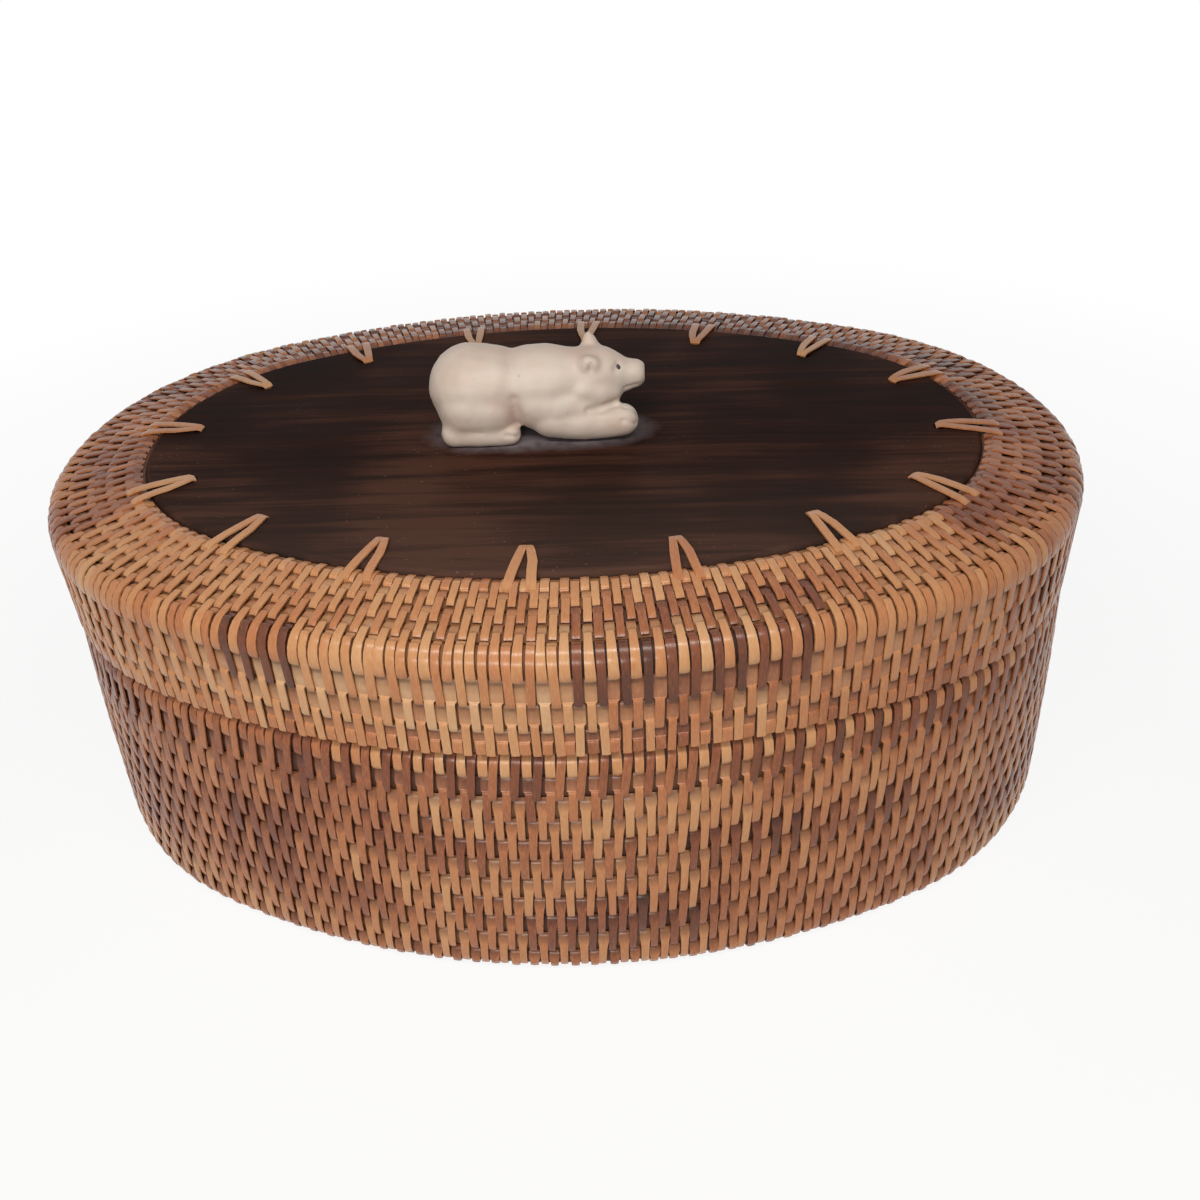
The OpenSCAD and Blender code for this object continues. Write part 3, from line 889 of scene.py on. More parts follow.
class BASKET_OT_base_wall(bpy.types.Operator):
    """Wrap the eleven courses of the base wall"""
    bl_idname = "basket.base_wall"
    bl_label = "Base wall"

    def execute(self, context):
        weave = context.scene.basket_weave
        rail, joints = base_face(weave)
        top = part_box("base_wall_course_11")[1].z
        floor_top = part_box("base_floor_course_11")[1].z
        limits = (GROUND_GAP, top - SEAM_GAP)
        for step, i in enumerate(range(11, 0, -1)):
            node = f"base_wall_course_{i}"
            outer, z0, z1 = course_box(node)
            origin = (outer, (z0 + z1) / 2)
            path = strip_path(rail, joints[step], joints[step + 2], COURSE_LIFT.get(node, STITCH_LIFT),
                              origin, limits, RIM_SKEW if i == 11 else SKEW)
            row = stitch_row(weave, origin, 0.5 * (step % 2), cane_tones(node, i), [path])
            rows = [row]
            if i == 11:
                rows.append({**row, "phase": 0.5, "tone": cane_tones("base_rim", RIM_SEED), "paths": [
                    strip_path(rail, joints[0], joints[1], RIM_LIFT, origin, limits)]})
            if 1 < i < 11:
                above = course_box(f"base_wall_course_{i + 1}")[0]
                back = Rail([(outer - weave.wall, z0), (above - weave.wall, z1 + z1 - z0)])
                start = max(0.0, floor_top - z0)
                end = z1 - z0 if i == 10 else back.reach[-1]
                rows.append({**row, "tone": cane_tones("", i), "paths": [
                    strip_path(back, start, end, BACK_LIFT, origin)]})
            if i in (1, 11):
                core = rolled_core(outer - weave.wall, outer, z0, z1, weave.roll, i == 1)
            else:
                core = wall_core(outer - weave.wall, outer, z0, z1)
            wrap_course(context, "base", node, rows, core, i)
        return {"FINISHED"}


# Radii of the collar's top, inside and outside, and how far their centres lie below it
COLLAR_INNER_R = 1.6 * MM
COLLAR_OUTER_R = 1.9 * MM
COLLAR_DROP = (1.8 * MM, 2.0 * MM)
# Its cane and that of the flat band, as shares of the wall's
COLLAR_NARROW = 0.94
BAND_NARROW = 0.9


class BASKET_OT_collar(bpy.types.Operator):
    """Wrap the three courses of the collar that locates the lid"""
    bl_idname = "basket.collar"
    bl_label = "Collar"

    def execute(self, context):
        weave = context.scene.basket_weave
        boxes = [course_box(f"base_collar_course_{i}") for i in (1, 2, 3)]
        outer, low, top = boxes[0][0], boxes[0][1], boxes[2][2]
        inner = outer - weave.collar
        inside = arc((inner + COLLAR_INNER_R, top - COLLAR_DROP[0]), COLLAR_INNER_R, 180, 90, 4)
        outside = arc((outer - COLLAR_OUTER_R, top - COLLAR_DROP[1]), COLLAR_OUTER_R, 90, 0, 4)
        rail = Rail([(inner, low), *inside, *outside, (outer, boxes[0][2] + SEAM_GAP)])
        middle = rail.length_at(0, (inner + outer) / 2)
        seam = rail.length_at(1, boxes[0][2])
        ledge = rail.length_at(1, boxes[1][2])
        far = rail.reach[-1]
        spans = {1: [(0.0, ledge)], 2: [(seam, middle), (middle, far)], 3: [(ledge, far - seam)]}
        for i, (x, z0, z1) in enumerate(boxes, 1):
            node = f"base_collar_course_{i}"
            origin = (x, (z0 + z1) / 2)
            paths = [strip_path(rail, a, b, BACK_LIFT, origin) for a, b in spans[i]]
            row = stitch_row(weave, origin, 0.5 * (i % 2), cane_tones("", COLLAR_SEED + i), paths,
                             width=weave.strip_width * COLLAR_NARROW, drift=CLOSE_DRIFT)
            core = rolled_core(inner, x, z0, z1, weave.roll) if i == 3 else wall_core(inner, x, z0, z1)
            wrap_course(context, "base", node, [row], core, COLLAR_SEED + i)
        return {"FINISHED"}


OVAL_STEPS = 96


def fill_oval(piece, offset, low, high):
    """Close the middle of the floor with wedges of flat cane between the straight coils."""
    filled = bmesh.new()
    filled.from_mesh(piece.data)
    tone = filled.verts.layers.float.get("tone")
    part = filled.verts.layers.float.get("part")
    cane = piece.data.materials.find("split_rattan_peel")
    sheets = []
    for height in (high, low):
        sheet = []
        for k in range(OVAL_STEPS):
            vert = filled.verts.new((*oval_spot(2 * math.pi * k / OVAL_STEPS, offset), height))
            if tone:
                vert[tone] = 0.4
            if part:
                vert[part] = 0.5
            sheet.append(vert)
        sheets.append(sheet)
    above, below = sheets
    faces = [filled.faces.new(above), filled.faces.new(list(reversed(below)))]
    for face in faces + ring_faces(filled, above, below):
        face.material_index = cane
    filled.to_mesh(piece.data)
    filled.free()


# Step of the stitches, and how far those of a turn are shifted against the turn inside it, in steps
FLOOR_STITCH = 2.3 * MM
FLOOR_SHIFT = 0.3
# The straight coils of the start, what is rounded off their ends, and how far the filling is set back
START_COILS = 6
START_ROUND = 0.3
START_GAP = 0.4 * MM
FILL_GAP = 0.2 * MM


class BASKET_OT_base_floor(bpy.types.Operator):
    """Wrap the coiled floor: a start of straight coils and eleven turns round it"""
    bl_idname = "basket.base_floor"
    bl_label = "Base floor"

    def execute(self, context):
        weave = context.scene.basket_weave
        first, low, high = course_box("base_floor_course_1")
        width = course_box("base_floor_course_2")[0] - first
        for i in range(1, 12):
            node = f"base_floor_course_{i}"
            outer, z0, z1 = course_box(node)
            origin = (outer, (z0 + z1) / 2)
            over = Rail([(outer - width, z1), (outer, z1)])
            under = Rail([(outer, z0), (outer - width, z0)])
            turn = 4 * (JOIN_ANGLE * (END_R + outer) + (math.pi / 2 - JOIN_ANGLE) * (SIDE_R + outer))
            paths = [strip_path(rail, 0, width, FLOOR_LIFT, origin) for rail in (over, under)]
            row = stitch_row(weave, origin, FLOOR_SHIFT * i, cane_tones("", FLOOR_SEED + i), paths,
                             spacing=outer, count=int(turn / FLOOR_STITCH), drift=CLOSE_DRIFT)
            core = flat_core(outer - width, outer, z0, z1)
            wrap_course(context, "base", node, [row], core, FLOOR_SEED + i)
        # The start: straight coils side by side, each as long as the oval allows
        offset = first - width
        half_w = HALF_W + offset
        lane = 2 * half_w / START_COILS
        rows = []
        for k in range(START_COILS):
            y = -half_w + (k + 0.5) * lane
            reach = oval_reach(abs(y) + START_ROUND * lane, offset) - START_GAP
            origin = (y, (low + high) / 2)
            over = Rail([(-lane / 2, high), (lane / 2, high)])
            under = Rail([(lane / 2, low), (-lane / 2, low)])
            paths = [strip_path(rail, 0, lane, FLOOR_LIFT, (0, origin[1])) for rail in (over, under)]
            rows.append(stitch_row(weave, origin, 0, cane_tones("", START_SEED + k), paths,
                                   line=(-reach, reach, y), count=int(2 * reach / FLOOR_STITCH),
                                   drift=CLOSE_DRIFT, core=flat_core(-lane / 2, lane / 2, low, high)))
        colours = context.scene.basket_colours
        piece = wrap("base_floor_start_cane", rows, None, weave, colours, weave.seed + START_SEED)
        fill_oval(piece, offset - FILL_GAP, low + INSET, high - INSET)
        dress(piece, "base", "cane", "base_floor_start")
        return {"FINISHED"}


# The cane goes down beside the board, round the band's edge and under the lid's edge, and the strips
# inside the top course of the side run on into the shoulder.
BOARD_GROOVE = 3.0 * MM
BAND_ROUND = 0.4 * MM
FIRST_TUCK = 0.6 * MM
LID_EDGE_R = 0.7 * MM
LID_EDGE_END = 0.4 * MM
BACK_OVERLAP = 0.8 * MM
LID_COURSES = ["lid_top_course_4", "lid_top_course_3", "lid_top_course_2", "lid_top_course_1",
               "lid_shoulder_course", "lid_side_course_3", "lid_side_course_2", "lid_side_course_1"]


def lid_face(weave):
    """Rail from the panel over the flat band and the shoulder, down the side and under the lid's edge,
    with the lengths of its joints."""
    boxes = [course_box(node) for node in LID_COURSES]
    width = boxes[1][0] - boxes[0][0]
    inner = boxes[0][0] - width
    rise = roll_rise(weave.roll)
    shoulder = boxes[4]
    bend = math.degrees(math.asin(min(1.0, (shoulder[2] - shoulder[1] - rise) / weave.roll)))
    points = [(inner, boxes[0][2] - BOARD_GROOVE), (inner, boxes[0][2] - BAND_ROUND)]
    points += [(x - width / 2, z1) for x, _, z1 in boxes[:4]]
    points += arc((shoulder[0] - weave.roll, shoulder[1] + rise), weave.roll, bend, 0, 10)
    edge = boxes[7][1]
    points += [(shoulder[0], (z0 + z1) / 2) for _, z0, z1 in boxes[5:]]
    points += arc((shoulder[0] - LID_EDGE_R, edge + LID_EDGE_R), LID_EDGE_R, 0, -90, 3)
    points.append((shoulder[0] - weave.lid_wall + LID_EDGE_END, edge))
    rail = Rail(points)
    joints = [rail.reach[1] - FIRST_TUCK] + [rail.length_at(0, x) for x, _, _ in boxes[:4]]
    joints += [rail.length_at(1, z0) for _, z0, _ in boxes[4:7]]
    joints += [rail.reach[-2], rail.reach[-1]]
    return rail, joints


# The innermost course is drawn in against the board, the flat band is plump, and its underside slopes.
BOARD_DRAW = 0.32 * MM
BAND_PLUMP = 0.12 * MM
CEILING_SLOPE = 0.6 / 4.3


class BASKET_OT_lid_courses(bpy.types.Operator):
    """Wrap the lid's flat band, shoulder and side"""
    bl_idname = "basket.lid_courses"
    bl_label = "Lid courses"

    def execute(self, context):
        weave = context.scene.basket_weave
        rail, joints = lid_face(weave)
        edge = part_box("lid_side_course_1")[0].z
        width = course_box("lid_top_course_3")[0] - course_box("lid_top_course_4")[0]
        limits = (edge + LID_GAP, 1.0)
        for step, node in enumerate(LID_COURSES):
            outer, z0, z1 = course_box(node)
            origin = (outer, (z0 + z1) / 2)
            on_top = node.startswith("lid_top")
            path = strip_path(rail, joints[step], joints[min(step + 2, 9)], COURSE_LIFT[node], origin, limits)
            row = stitch_row(weave, origin, 0.5 * (step % 2), cane_tones(node, LID_SEED + step), [path],
                             width=weave.strip_width * (BAND_NARROW if on_top else 1.0))
            rows = [row]
            if step == 0:
                rows.append({**row, "phase": 0.5, "paths": [
                    strip_path(rail, joints[0], joints[1], RIM_LIFT, origin, limits)]})
            if on_top:
                reach = min(2 * width, outer - (course_box("lid_top_course_4")[0] - width))
                ceiling = Rail([(outer, z0), (outer - reach, z0 + CEILING_SLOPE * (reach - width * 0.5))])
                rows.append({**row, "tone": cane_tones("", CEILING_SEED + step), "paths": [
                    strip_path(ceiling, 0, ceiling.reach[-1], BACK_LIFT, origin)]})
                draw = BOARD_DRAW if step == 0 else 0.0
                core = flat_core(outer - width - draw, outer, z0, z1 + BAND_PLUMP)
            elif node == "lid_shoulder_course":
                core = rolled_core(outer - weave.lid_wall, outer, z0, z1, weave.roll)
            else:
                back = Rail([(outer - weave.lid_wall, z0), (outer - weave.lid_wall, z1 + (z1 - z0))])
                end = back.reach[-1] if step > 5 else z1 - z0 + BACK_OVERLAP
                rows.append({**row, "tone": cane_tones("", LID_BACK_SEED + step), "drift": CLOSE_DRIFT,
                             "paths": [strip_path(back, 0, end, BACK_LIFT, origin, limits)]})
                core = wall_core(outer - weave.lid_wall, outer, z0, z1)
            wrap_course(context, "lid", node, rows, core, LID_SEED + step)
        return {"FINISHED"}


# The panel, its lacing, and the bear on its bed of glue

class BASKET_OT_panel(bpy.types.Operator):
    """Lacquer the wooden panel"""
    bl_idname = "basket.panel"
    bl_label = "Panel"

    def execute(self, context):
        wood = material("lacquered_hardwood", lacquered_wood, context.scene.basket_colours)
        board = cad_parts["lid_panel"]
        for slot in board.material_slots:
            slot.material = wood
        return {"FINISHED"}


LACING_LOOPS = 16
LACING_PHASE = 0.85
LACING_WIDTH = 1.95 * MM
LACING_DRIFT = 0.05 * MM
# Each leg comes out of the hole, bends over it and runs out to the coil: outwards from the board's edge,
# sideways, up from the board's face, all in millimetres, and width.
LEG_OVER = [
    (-8.6, 0.35, -1.8, 0.7), (-9.9, 0.4, -0.5, 0.75), (-10.1, 0.45, 0.2, 0.78), (-9.3, 0.55, 0.62, 0.82),
    (-7.4, 0.8, 0.66, 0.9), (-4.0, 1.3, 0.56, 1.0), (-1.0, 1.72, 0.46, 1.0), (1.4, 2.0, 0.3, 1.0),
    (3.2, 2.2, 0.1, 1.0), (4.4, 2.32, -0.4, 1.0), (4.7, 2.34, -1.6, 0.95)]
LEG_UNDER = [
    (-8.8, 0.35, 1.4, 0.7), (-9.6, 0.4, 0.0, 0.75), (-7.6, 0.8, -0.42, 0.9), (-1.0, 1.72, -0.42, 1.0),
    (3.2, 2.2, -0.2, 1.0), (4.4, 2.3, 0.8, 1.0)]


def lacing_tone(share):
    """Tone of a loop, which changes a little from loop to loop."""
    return 0.36 + 0.1 * math.sin(40 * share)


class BASKET_OT_lacing(bpy.types.Operator):
    """Lace the panel to the coil with sixteen loops of cane"""
    bl_idname = "basket.lacing"
    bl_label = "Lacing"

    def execute(self, context):
        low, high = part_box("lid_panel")
        edge = high.x - HALF_L
        top = high.z
        paths = []
        for side in (-1, 1):
            # The leg on one side is curved, and the other is straight
            sweep = 0.5 if side > 0 else 0.0
            leg = []
            for x, y, z, w in LEG_OVER:
                bow = sweep * math.sin(math.pi * min(max(-x / 10, 0), 1))
                leg.append((x * MM, (side * y + bow) * MM, z * MM, w))
            paths.append(leg)
            paths.append([(x * MM, side * y * MM, z * MM + low.z - top, w)
                          for x, y, z, w in reversed(LEG_UNDER)])
        row = stitch_row(context.scene.basket_weave, (edge, top), LACING_PHASE, lacing_tone, paths,
                         count=LACING_LOOPS, spacing=edge, width=LACING_WIDTH, drift=LACING_DRIFT, lean=0.0)
        wrap_course(context, "lid", "lid_lacing", [row], None, LACING_SEED, "lacing_cane")
        return {"FINISHED"}


def bear_place(figure):
    """Matrix from the carving's grid, in millimetres from the rump, to the panel."""
    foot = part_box("bear_figure")[0].z
    spot = Matrix.Translation((figure.spot[0], figure.spot[1], foot))
    turned = spot @ Matrix.Rotation(figure.turn, 4, "Z")
    return turned @ Matrix.Scale(figure.length / NOSE_END, 4) @ Matrix.Translation((-NOSE_END / 2, 0, 0))


# Beads of the carving: along the body from the rump, across, height above the feet, radius
BEAR_TRUNK = [(10.2, 0, 11.6, 10.1), (14.6, 0, 11.5, 9.6), (19.8, 0, 10.6, 8.5), (23.8, 0, 11.7, 8.9),
              (27.0, 0, 12.1, 8.7), (31.5, 0, 12.4, 7.6)]
BEAR_HEAD = [(33.0, 0, 12.6, 7.1), (36.6, 0, 13.0, 6.8), (39.8, 0, 13.6, 6.2), (41.8, 0, 13.4, 5.3)]
BEAR_MUZZLE = [(41.6, 0, 13.0, 4.8), (44.6, 0, 13.1, 4.1), (47.4, 0, 13.2, 3.4)]
# Thigh, hind foot and its blend into the thigh, chest and cheek, on both sides
BEAR_SIDES = [
    [(9.5, 2.8, 8.8, 7.8), (14.0, 3.2, 8.0, 7.2)],
    [(5.4, 6.0, 2.6, 3.0), (11.6, 6.6, 2.7, 3.0), (18.6, 6.6, 2.4, 2.6)],
    [(7.5, 4.6, 5.4, 4.6), (12.5, 4.8, 5.2, 4.6), (15.5, 4.6, 4.8, 4.0)],
    [(24.6, 2.6, 9.0, 6.9), (29.5, 3.3, 8.0, 6.1), (35.0, 3.6, 7.6, 5.0)],
    [(35.5, 3.6, 11.6, 4.2), (39.4, 3.2, 11.0, 4.0), (41.4, 2.4, 10.6, 3.6)],
]
# The near foreleg reaches to below the nose; the far one is drawn in.
BEAR_LEGS = [
    [(28, -4.6, 5.4, 4.9), (31.5, -5.0, 4.7, 4.6), (36, -5.4, 4.2, 4.2), (41.5, -5.2, 4.0, 3.9),
     (44.6, -4.8, 4.0, 3.8)],
    [(28, 4.4, 5.4, 4.9), (31, 4.6, 4.4, 4.3), (35, 4.2, 3.8, 3.8), (37.5, 3.8, 3.6, 3.5)],
]
# The far ear stands up, and the near one lies against the head.
BEAR_EARS = [
    [(37.2, 3.0, 17.0, 2.4), (37.6, 3.9, 18.6, 2.1), (37.6, 4.4, 19.8, 1.7), (37.4, 4.7, 20.8, 1.2)],
    [(38.4, 3.2, 17.0, 2.0), (38.6, 3.8, 18.2, 1.7), (37.8, 4.4, 19.6, 1.3)],
    [(36.6, -4.0, 17.2, 2.2), (37.2, -4.7, 18.2, 1.7)],
    [(38.4, -4.0, 17.2, 2.0), (38.2, -4.6, 18.0, 1.6)],
]
NOSE_END = 50.0
CARVING_GRAIN = 0.42
RUBS = 20
EYE = (44.1, 3.4, 16.5)
EYE_R = 0.62
EYE_SHAPE = (0.85, 1.15, 0.45, 1.0)
KNIFE_WAVES = 0.28
KNIFE_DEPTH = 0.16
# Cuts of the carver: points, radius of the cut, depth
BEAR_CUTS = [
    ([(20.2, 8.4, 11.5), (20.6, 8.2, 8.6), (21.2, 7.0, 6.2), (21.6, 5.6, 4.6)], 1.3, 0.6),
    ([(37.0, 8.4, 8.2), (40.0, 7.2, 8.0), (43.0, 5.2, 8.4)], 0.9, 0.7),
    ([(37.8, 6.3, 17.2), (37.8, 6.1, 18.4)], 0.7, 0.5),
    ([(43.2, 3.9, 16.2), (44.0, 3.0, 16.8)], 0.9, 0.5),
    ([(45.0, 3.4, 11.4), (48.2, 2.6, 11.7), (50.0, 0.0, 11.8)], 0.5, 0.3),
    ([(44.6, 8.2, 5.4), (47.6, 6.8, 3.8)], 0.5, 0.4),
    ([(45.2, 5.6, 7.6), (48.0, 5.2, 5.2)], 0.5, 0.4),
    ([(17.8, 9.2, 3.2), (20.6, 8.2, 2.4)], 0.5, 0.35),
]


def bead_chain(mesh, beads, step=0.28):
    """Add spheres close together along a chain of beads."""
    for (ax, ay, az, ar), (bx, by, bz, br) in zip(beads, beads[1:]):
        reach = math.dist((ax, ay, az), (bx, by, bz))
        count = max(2, int(reach / (step * min(ar, br))))
        for k in range(count + 1):
            s = k / count
            place = Matrix.Translation((ax + (bx - ax) * s, ay + (by - ay) * s, az + (bz - az) * s))
            bmesh.ops.create_icosphere(mesh, subdivisions=3, radius=ar + (br - ar) * s, matrix=place)


def near_line(point, line):
    """Distance from a point to a line of straight pieces."""
    best = 1e9
    for a, b in zip(line, line[1:]):
        run = b - a
        share = min(max((point - a).dot(run) / run.length_squared, 0.0), 1.0)
        best = min(best, (point - a - run * share).length)
    return best


class BASKET_OT_bear(bpy.types.Operator):
    """Carve the bear that is the lid's handle"""
    bl_idname = "basket.bear"
    bl_label = "Bear"

    def execute(self, context):
        place = bear_place(context.scene.basket_figure)
        rough = bmesh.new()
        for chain in (BEAR_TRUNK, BEAR_HEAD, BEAR_MUZZLE, *BEAR_LEGS, *BEAR_EARS):
            bead_chain(rough, chain)
        for chain in BEAR_SIDES:
            for side in (-1, 1):
                bead_chain(rough, [(x, side * y, z, r) for x, y, z, r in chain])
        block = mesh_object("bear_rough", rough)
        remesh = block.modifiers.new("carve", "REMESH")
        remesh.mode = "VOXEL"
        remesh.voxel_size = CARVING_GRAIN
        rub = block.modifiers.new("rub", "SMOOTH")
        rub.factor = 0.5
        rub.iterations = RUBS
        carved = bmesh.new()
        carved.from_mesh(plain_mesh(block))
        drop(block)
        for points, radius, depth in BEAR_CUTS:
            for side in (-1, 1):
                line = [Vector((x, side * y, z)) for x, y, z in points]
                for vert in carved.verts:
                    gap = near_line(vert.co, line)
                    if gap < 3 * radius:
                        vert.co -= vert.normal * depth * math.exp(-(gap / radius) ** 2)
        for vert in carved.verts:
            wave = noise.noise(vert.co * KNIFE_WAVES + Vector((3.0, 1.0, 7.0)))
            vert.co += vert.normal * KNIFE_DEPTH * wave
            vert.co.z = max(vert.co.z, 0.0)
            vert.co.x = min(vert.co.x, NOSE_END)
        for face in carved.faces:
            face.smooth = True
        # The eyes are flat dots of paint on the face
        eyes = []
        for side in (-1, 1):
            aim = Vector((EYE[0], side * EYE[1], EYE[2]))
            near = min(carved.verts, key=lambda v: (v.co - aim).length)
            turn = near.normal.to_track_quat("Z", "Y").to_matrix().to_4x4()
            eyes.append(Matrix.Translation(near.co) @ turn @ Matrix.Diagonal(EYE_SHAPE))
        before = set(carved.faces)
        for eye in eyes:
            bmesh.ops.create_icosphere(carved, subdivisions=2, radius=EYE_R, matrix=eye)
        for face in carved.faces:
            if face not in before:
                face.material_index = 1
                face.smooth = True
        bmesh.ops.transform(carved, matrix=place, verts=carved.verts)
        bone = material("carved_bone", carved_bone, context.scene.basket_colours)
        piece = mesh_object("bear_carving", carved, bone, material("black_eye_paint", eye_paint))
        dress(piece, "lid", "bear", "bear_figure")
        return {"FINISHED"}


# The smear, in the carving's millimetres: middle, half length and width, how square and how uneven its
# edge is, and the rings of its mesh
GLUE_MIDDLE = 24.5
GLUE_REACH = (28, 12)
GLUE_SQUARE = 0.75
GLUE_WANDER = 0.1
GLUE_RINGS = [0.0, 0.5, 0.62, 0.72, 0.8, 0.88, 0.94, 1.0]


class BASKET_OT_glue(bpy.types.Operator):
    """Spread the dried glue round the bear's feet"""
    bl_idname = "basket.glue"
    bl_label = "Glue"

    def execute(self, context):
        place = bear_place(context.scene.basket_figure)
        low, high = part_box("bear_glue")
        thick = (high.z - low.z) / (context.scene.basket_figure.length / NOSE_END)
        spread = bmesh.new()
        depth = spread.verts.layers.float.new("depth")
        grid = []
        for share in GLUE_RINGS:
            ring = []
            for k in range(OVAL_STEPS):
                turn = 2 * math.pi * k / OVAL_STEPS
                x, y = math.cos(turn), math.sin(turn)
                x, y = math.copysign(abs(x) ** GLUE_SQUARE, x), math.copysign(abs(y) ** GLUE_SQUARE, y)
                reach = 1 + GLUE_WANDER * noise.noise(Vector((1.4 * x, 1.4 * y, 4.0)))
                height = thick * (0.1 - 1.02 * share ** 3) + 0.02
                height += 0.05 * noise.noise(Vector((9 * x * share, 9 * y * share, 1.0))) * (share < 0.99)
                spot = (GLUE_MIDDLE + GLUE_REACH[0] * x * share * reach, GLUE_REACH[1] * y * share * reach)
                vert = spread.verts.new((*spot, height - 0.02))
                vert[depth] = min(1.0, 3.0 * (1.0 - share)) ** 1.2
                ring.append(vert)
            grid.append(ring)
        base = [spread.verts.new((v.co.x, v.co.y, -thick)) for v in grid[-1]]
        for inner, outer in zip(grid, [*grid[1:], base]):
            ring_faces(spread, inner, outer)
        spread.faces.new(list(reversed(base)))
        bmesh.ops.remove_doubles(spread, verts=spread.verts, dist=1e-4)
        bmesh.ops.recalc_face_normals(spread, faces=spread.faces)
        for face in spread.faces:
            face.smooth = abs(face.normal.z) > 0.5
        for edge in spread.edges:
            edge.smooth = all(face.smooth for face in edge.link_faces)
        bmesh.ops.transform(spread, matrix=place, verts=spread.verts)
        smear = material("dried_glue", dried_glue, context.scene.basket_colours)
        piece = mesh_object("bear_glue_smear", spread, smear)
        dress(piece, "lid", "glue", "bear_glue")
        return {"FINISHED"}


# The stage

# Lamps: place, target, size, power
LAMPS = [
    ("key", (-0.01, -0.18, 0.32), (-0.01, -0.07, 0.08), (0.3, 0.02), 0.6),
    ("front", (-0.08, -0.6, 0.26), (0, -0.05, 0.05), (0.3, 0.06), 1.2),
    ("rear", (0.1, 0.6, 0.045), (0, 0.08, 0.045), (0.4, 0.05), 0.9),
]
LAMP_COLOUR = (1.0, 0.965, 0.92)
FILL_LIGHT = 0.13
FLOOR_R = 6.0
# Distances between which the sheet turns from lit to plain white, and how white it is near the basket
PAPER_FADE = (0.16, 0.4)
PAPER_WHITE = 0.89
FRAME_PX = 1200
SENSOR_MM = 36


def aim_matrix(spot, target):
    """Matrix of a lamp at a spot that shines at a target."""
    look = (Vector(target) - Vector(spot)).to_track_quat("-Z", "Y")
    return Matrix.Translation(spot) @ look.to_matrix().to_4x4()


def shown_ray(tree):
    """1 for rays that show the picture's ground: from the camera, mirrored or passed on."""
    path = add_node(tree, "ShaderNodeLightPath")
    seen = maths(tree, "MAXIMUM", path.outputs["Is Camera Ray"], path.outputs["Is Glossy Ray"])
    return maths(tree, "MAXIMUM", seen, path.outputs["Is Transmission Ray"])


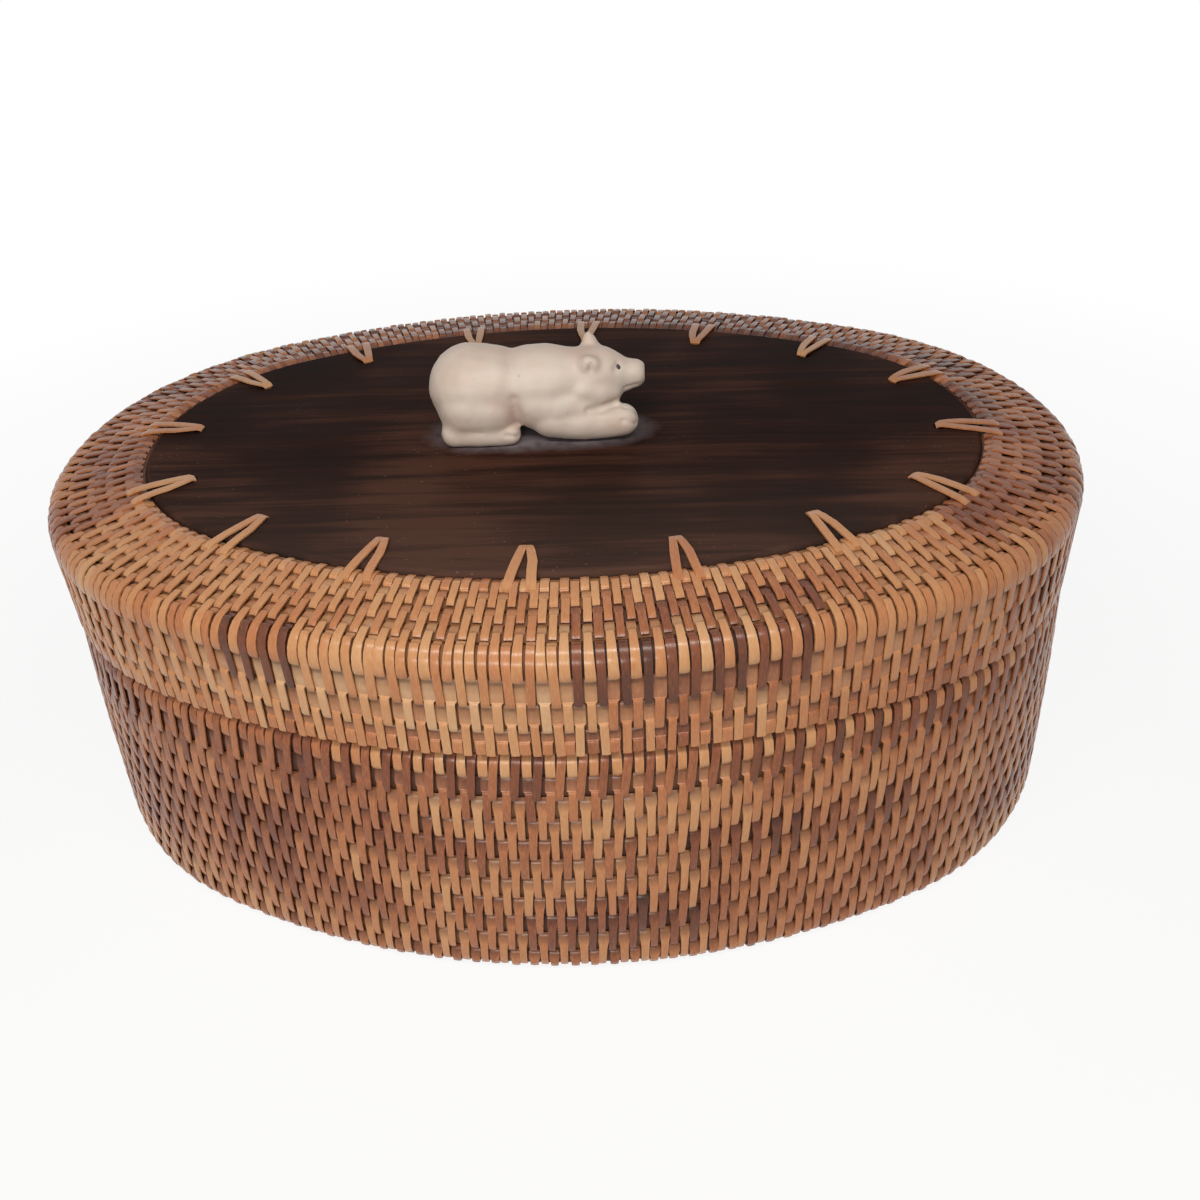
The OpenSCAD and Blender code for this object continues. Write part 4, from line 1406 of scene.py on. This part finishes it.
class BASKET_OT_stage(bpy.types.Operator):
    """Set up the pale floor, the soft light and the camera"""
    bl_idname = "basket.stage"
    bl_label = "Stage"

    def execute(self, context):
        scene = context.scene
        scene.view_settings.view_transform = "Standard"
        view = scene.basket_view
        right = Vector((math.cos(view.azimuth), math.sin(view.azimuth), 0))
        ahead = Vector((-math.sin(view.azimuth), math.cos(view.azimuth), 0))
        forward = ahead * math.cos(view.elevation) - Vector((0, 0, math.sin(view.elevation)))
        up = ahead * math.sin(view.elevation) + Vector((0, 0, math.cos(view.elevation)))
        across = right * math.cos(view.roll) + up * math.sin(view.roll)
        above = up * math.cos(view.roll) - right * math.sin(view.roll)
        data = bpy.data.cameras.new("camera")
        data.sensor_width = SENSOR_MM
        data.lens = SENSOR_MM * view.focal_px / FRAME_PX
        data.clip_start = 0.01
        camera = link_object("camera", data)
        turn = Matrix((across, above, -forward)).transposed().to_4x4()
        camera.matrix_world = Matrix.Translation(Vector(view.aim) - forward * view.distance) @ turn
        scene.camera = camera

        for name, spot, target, size, power in LAMPS:
            lamp = bpy.data.lights.new(name, "AREA")
            lamp.shape = "RECTANGLE"
            lamp.size, lamp.size_y = size
            lamp.energy = power
            lamp.color = LAMP_COLOUR
            made = link_object(name, lamp)
            made.matrix_world = aim_matrix(spot, target)
            # The low lamp at the back only fills; it isn't mirrored in the far band.
            made.visible_glossy = name != "rear"

        world = bpy.data.worlds.new("studio")
        world.use_nodes = True
        tree = world.node_tree
        tree.nodes.clear()
        level = span(tree, shown_ray(tree), 0.0, 1.0, FILL_LIGHT, 1.0)
        glow = add_node(tree, "ShaderNodeBackground", {"Color": (1, 1, 1, 1), "Strength": level})
        add_node(tree, "ShaderNodeOutputWorld", {"Surface": glow})
        scene.world = world

        # The sheet is lit near the basket, where it holds the shadow, and runs out to plain white.
        paper, tree = new_material("studio_paper")
        far = add_node(tree, "ShaderNodeVectorMath", {0: object_spot(tree)}, operation="LENGTH")
        pale = span(tree, far.outputs["Value"], *PAPER_FADE, PAPER_WHITE, 1.0)
        matte = add_node(tree, "ShaderNodeBsdfDiffuse", {"Color": scene.basket_colours.floor})
        glow = add_node(tree, "ShaderNodeEmission", {"Color": (1, 1, 1, 1), "Strength": 1.0})
        mixed = add_node(tree, "ShaderNodeMixShader", {
            0: maths(tree, "MULTIPLY", shown_ray(tree), pale), 1: matte, 2: glow})
        add_node(tree, "ShaderNodeOutputMaterial", {"Surface": mixed})
        ground = bmesh.new()
        bmesh.ops.create_circle(ground, cap_ends=True, segments=OVAL_STEPS, radius=FLOOR_R)
        mesh_object("floor", ground, paper)
        return {"FINISHED"}


class BASKET_PT_sidebar(bpy.types.Panel):
    """Sizes, colours and building steps of the basket"""
    bl_idname = "BASKET_PT_sidebar"
    bl_label = "Coiled cane basket"
    bl_space_type = "VIEW_3D"
    bl_region_type = "UI"
    bl_category = "Basket"

    def draw(self, context):
        for group in (context.scene.basket_weave, context.scene.basket_colours,
                      context.scene.basket_figure, context.scene.basket_view):
            box = self.layout.box()
            for name in group.__annotations__:
                box.prop(group, name)
        for step in STEPS:
            self.layout.operator(step.bl_idname)


STEPS = (BASKET_OT_stage, BASKET_OT_base_floor, BASKET_OT_base_wall, BASKET_OT_collar, BASKET_OT_lid_courses,
         BASKET_OT_panel, BASKET_OT_lacing, BASKET_OT_glue, BASKET_OT_bear)
CLASSES = (BasketWeave, BasketColours, BasketFigure, BasketView) + STEPS + (BASKET_PT_sidebar,)


def register():
    for kind in CLASSES:
        bpy.utils.register_class(kind)
    bpy.types.Scene.basket_weave = bpy.props.PointerProperty(type=BasketWeave)
    bpy.types.Scene.basket_colours = bpy.props.PointerProperty(type=BasketColours)
    bpy.types.Scene.basket_figure = bpy.props.PointerProperty(type=BasketFigure)
    bpy.types.Scene.basket_view = bpy.props.PointerProperty(type=BasketView)


def unregister():
    for name in ("basket_weave", "basket_colours", "basket_figure", "basket_view"):
        delattr(bpy.types.Scene, name)
    for kind in reversed(CLASSES):
        bpy.utils.unregister_class(kind)


def main():
    """Build the basket step by step."""
    register()
    bpy.ops.basket.stage()
    bpy.ops.basket.base_floor()
    bpy.ops.basket.base_wall()
    bpy.ops.basket.collar()
    bpy.ops.basket.lid_courses()
    bpy.ops.basket.panel()
    bpy.ops.basket.lacing()
    bpy.ops.basket.glue()
    bpy.ops.basket.bear()


if __name__ == "__main__":
    main()
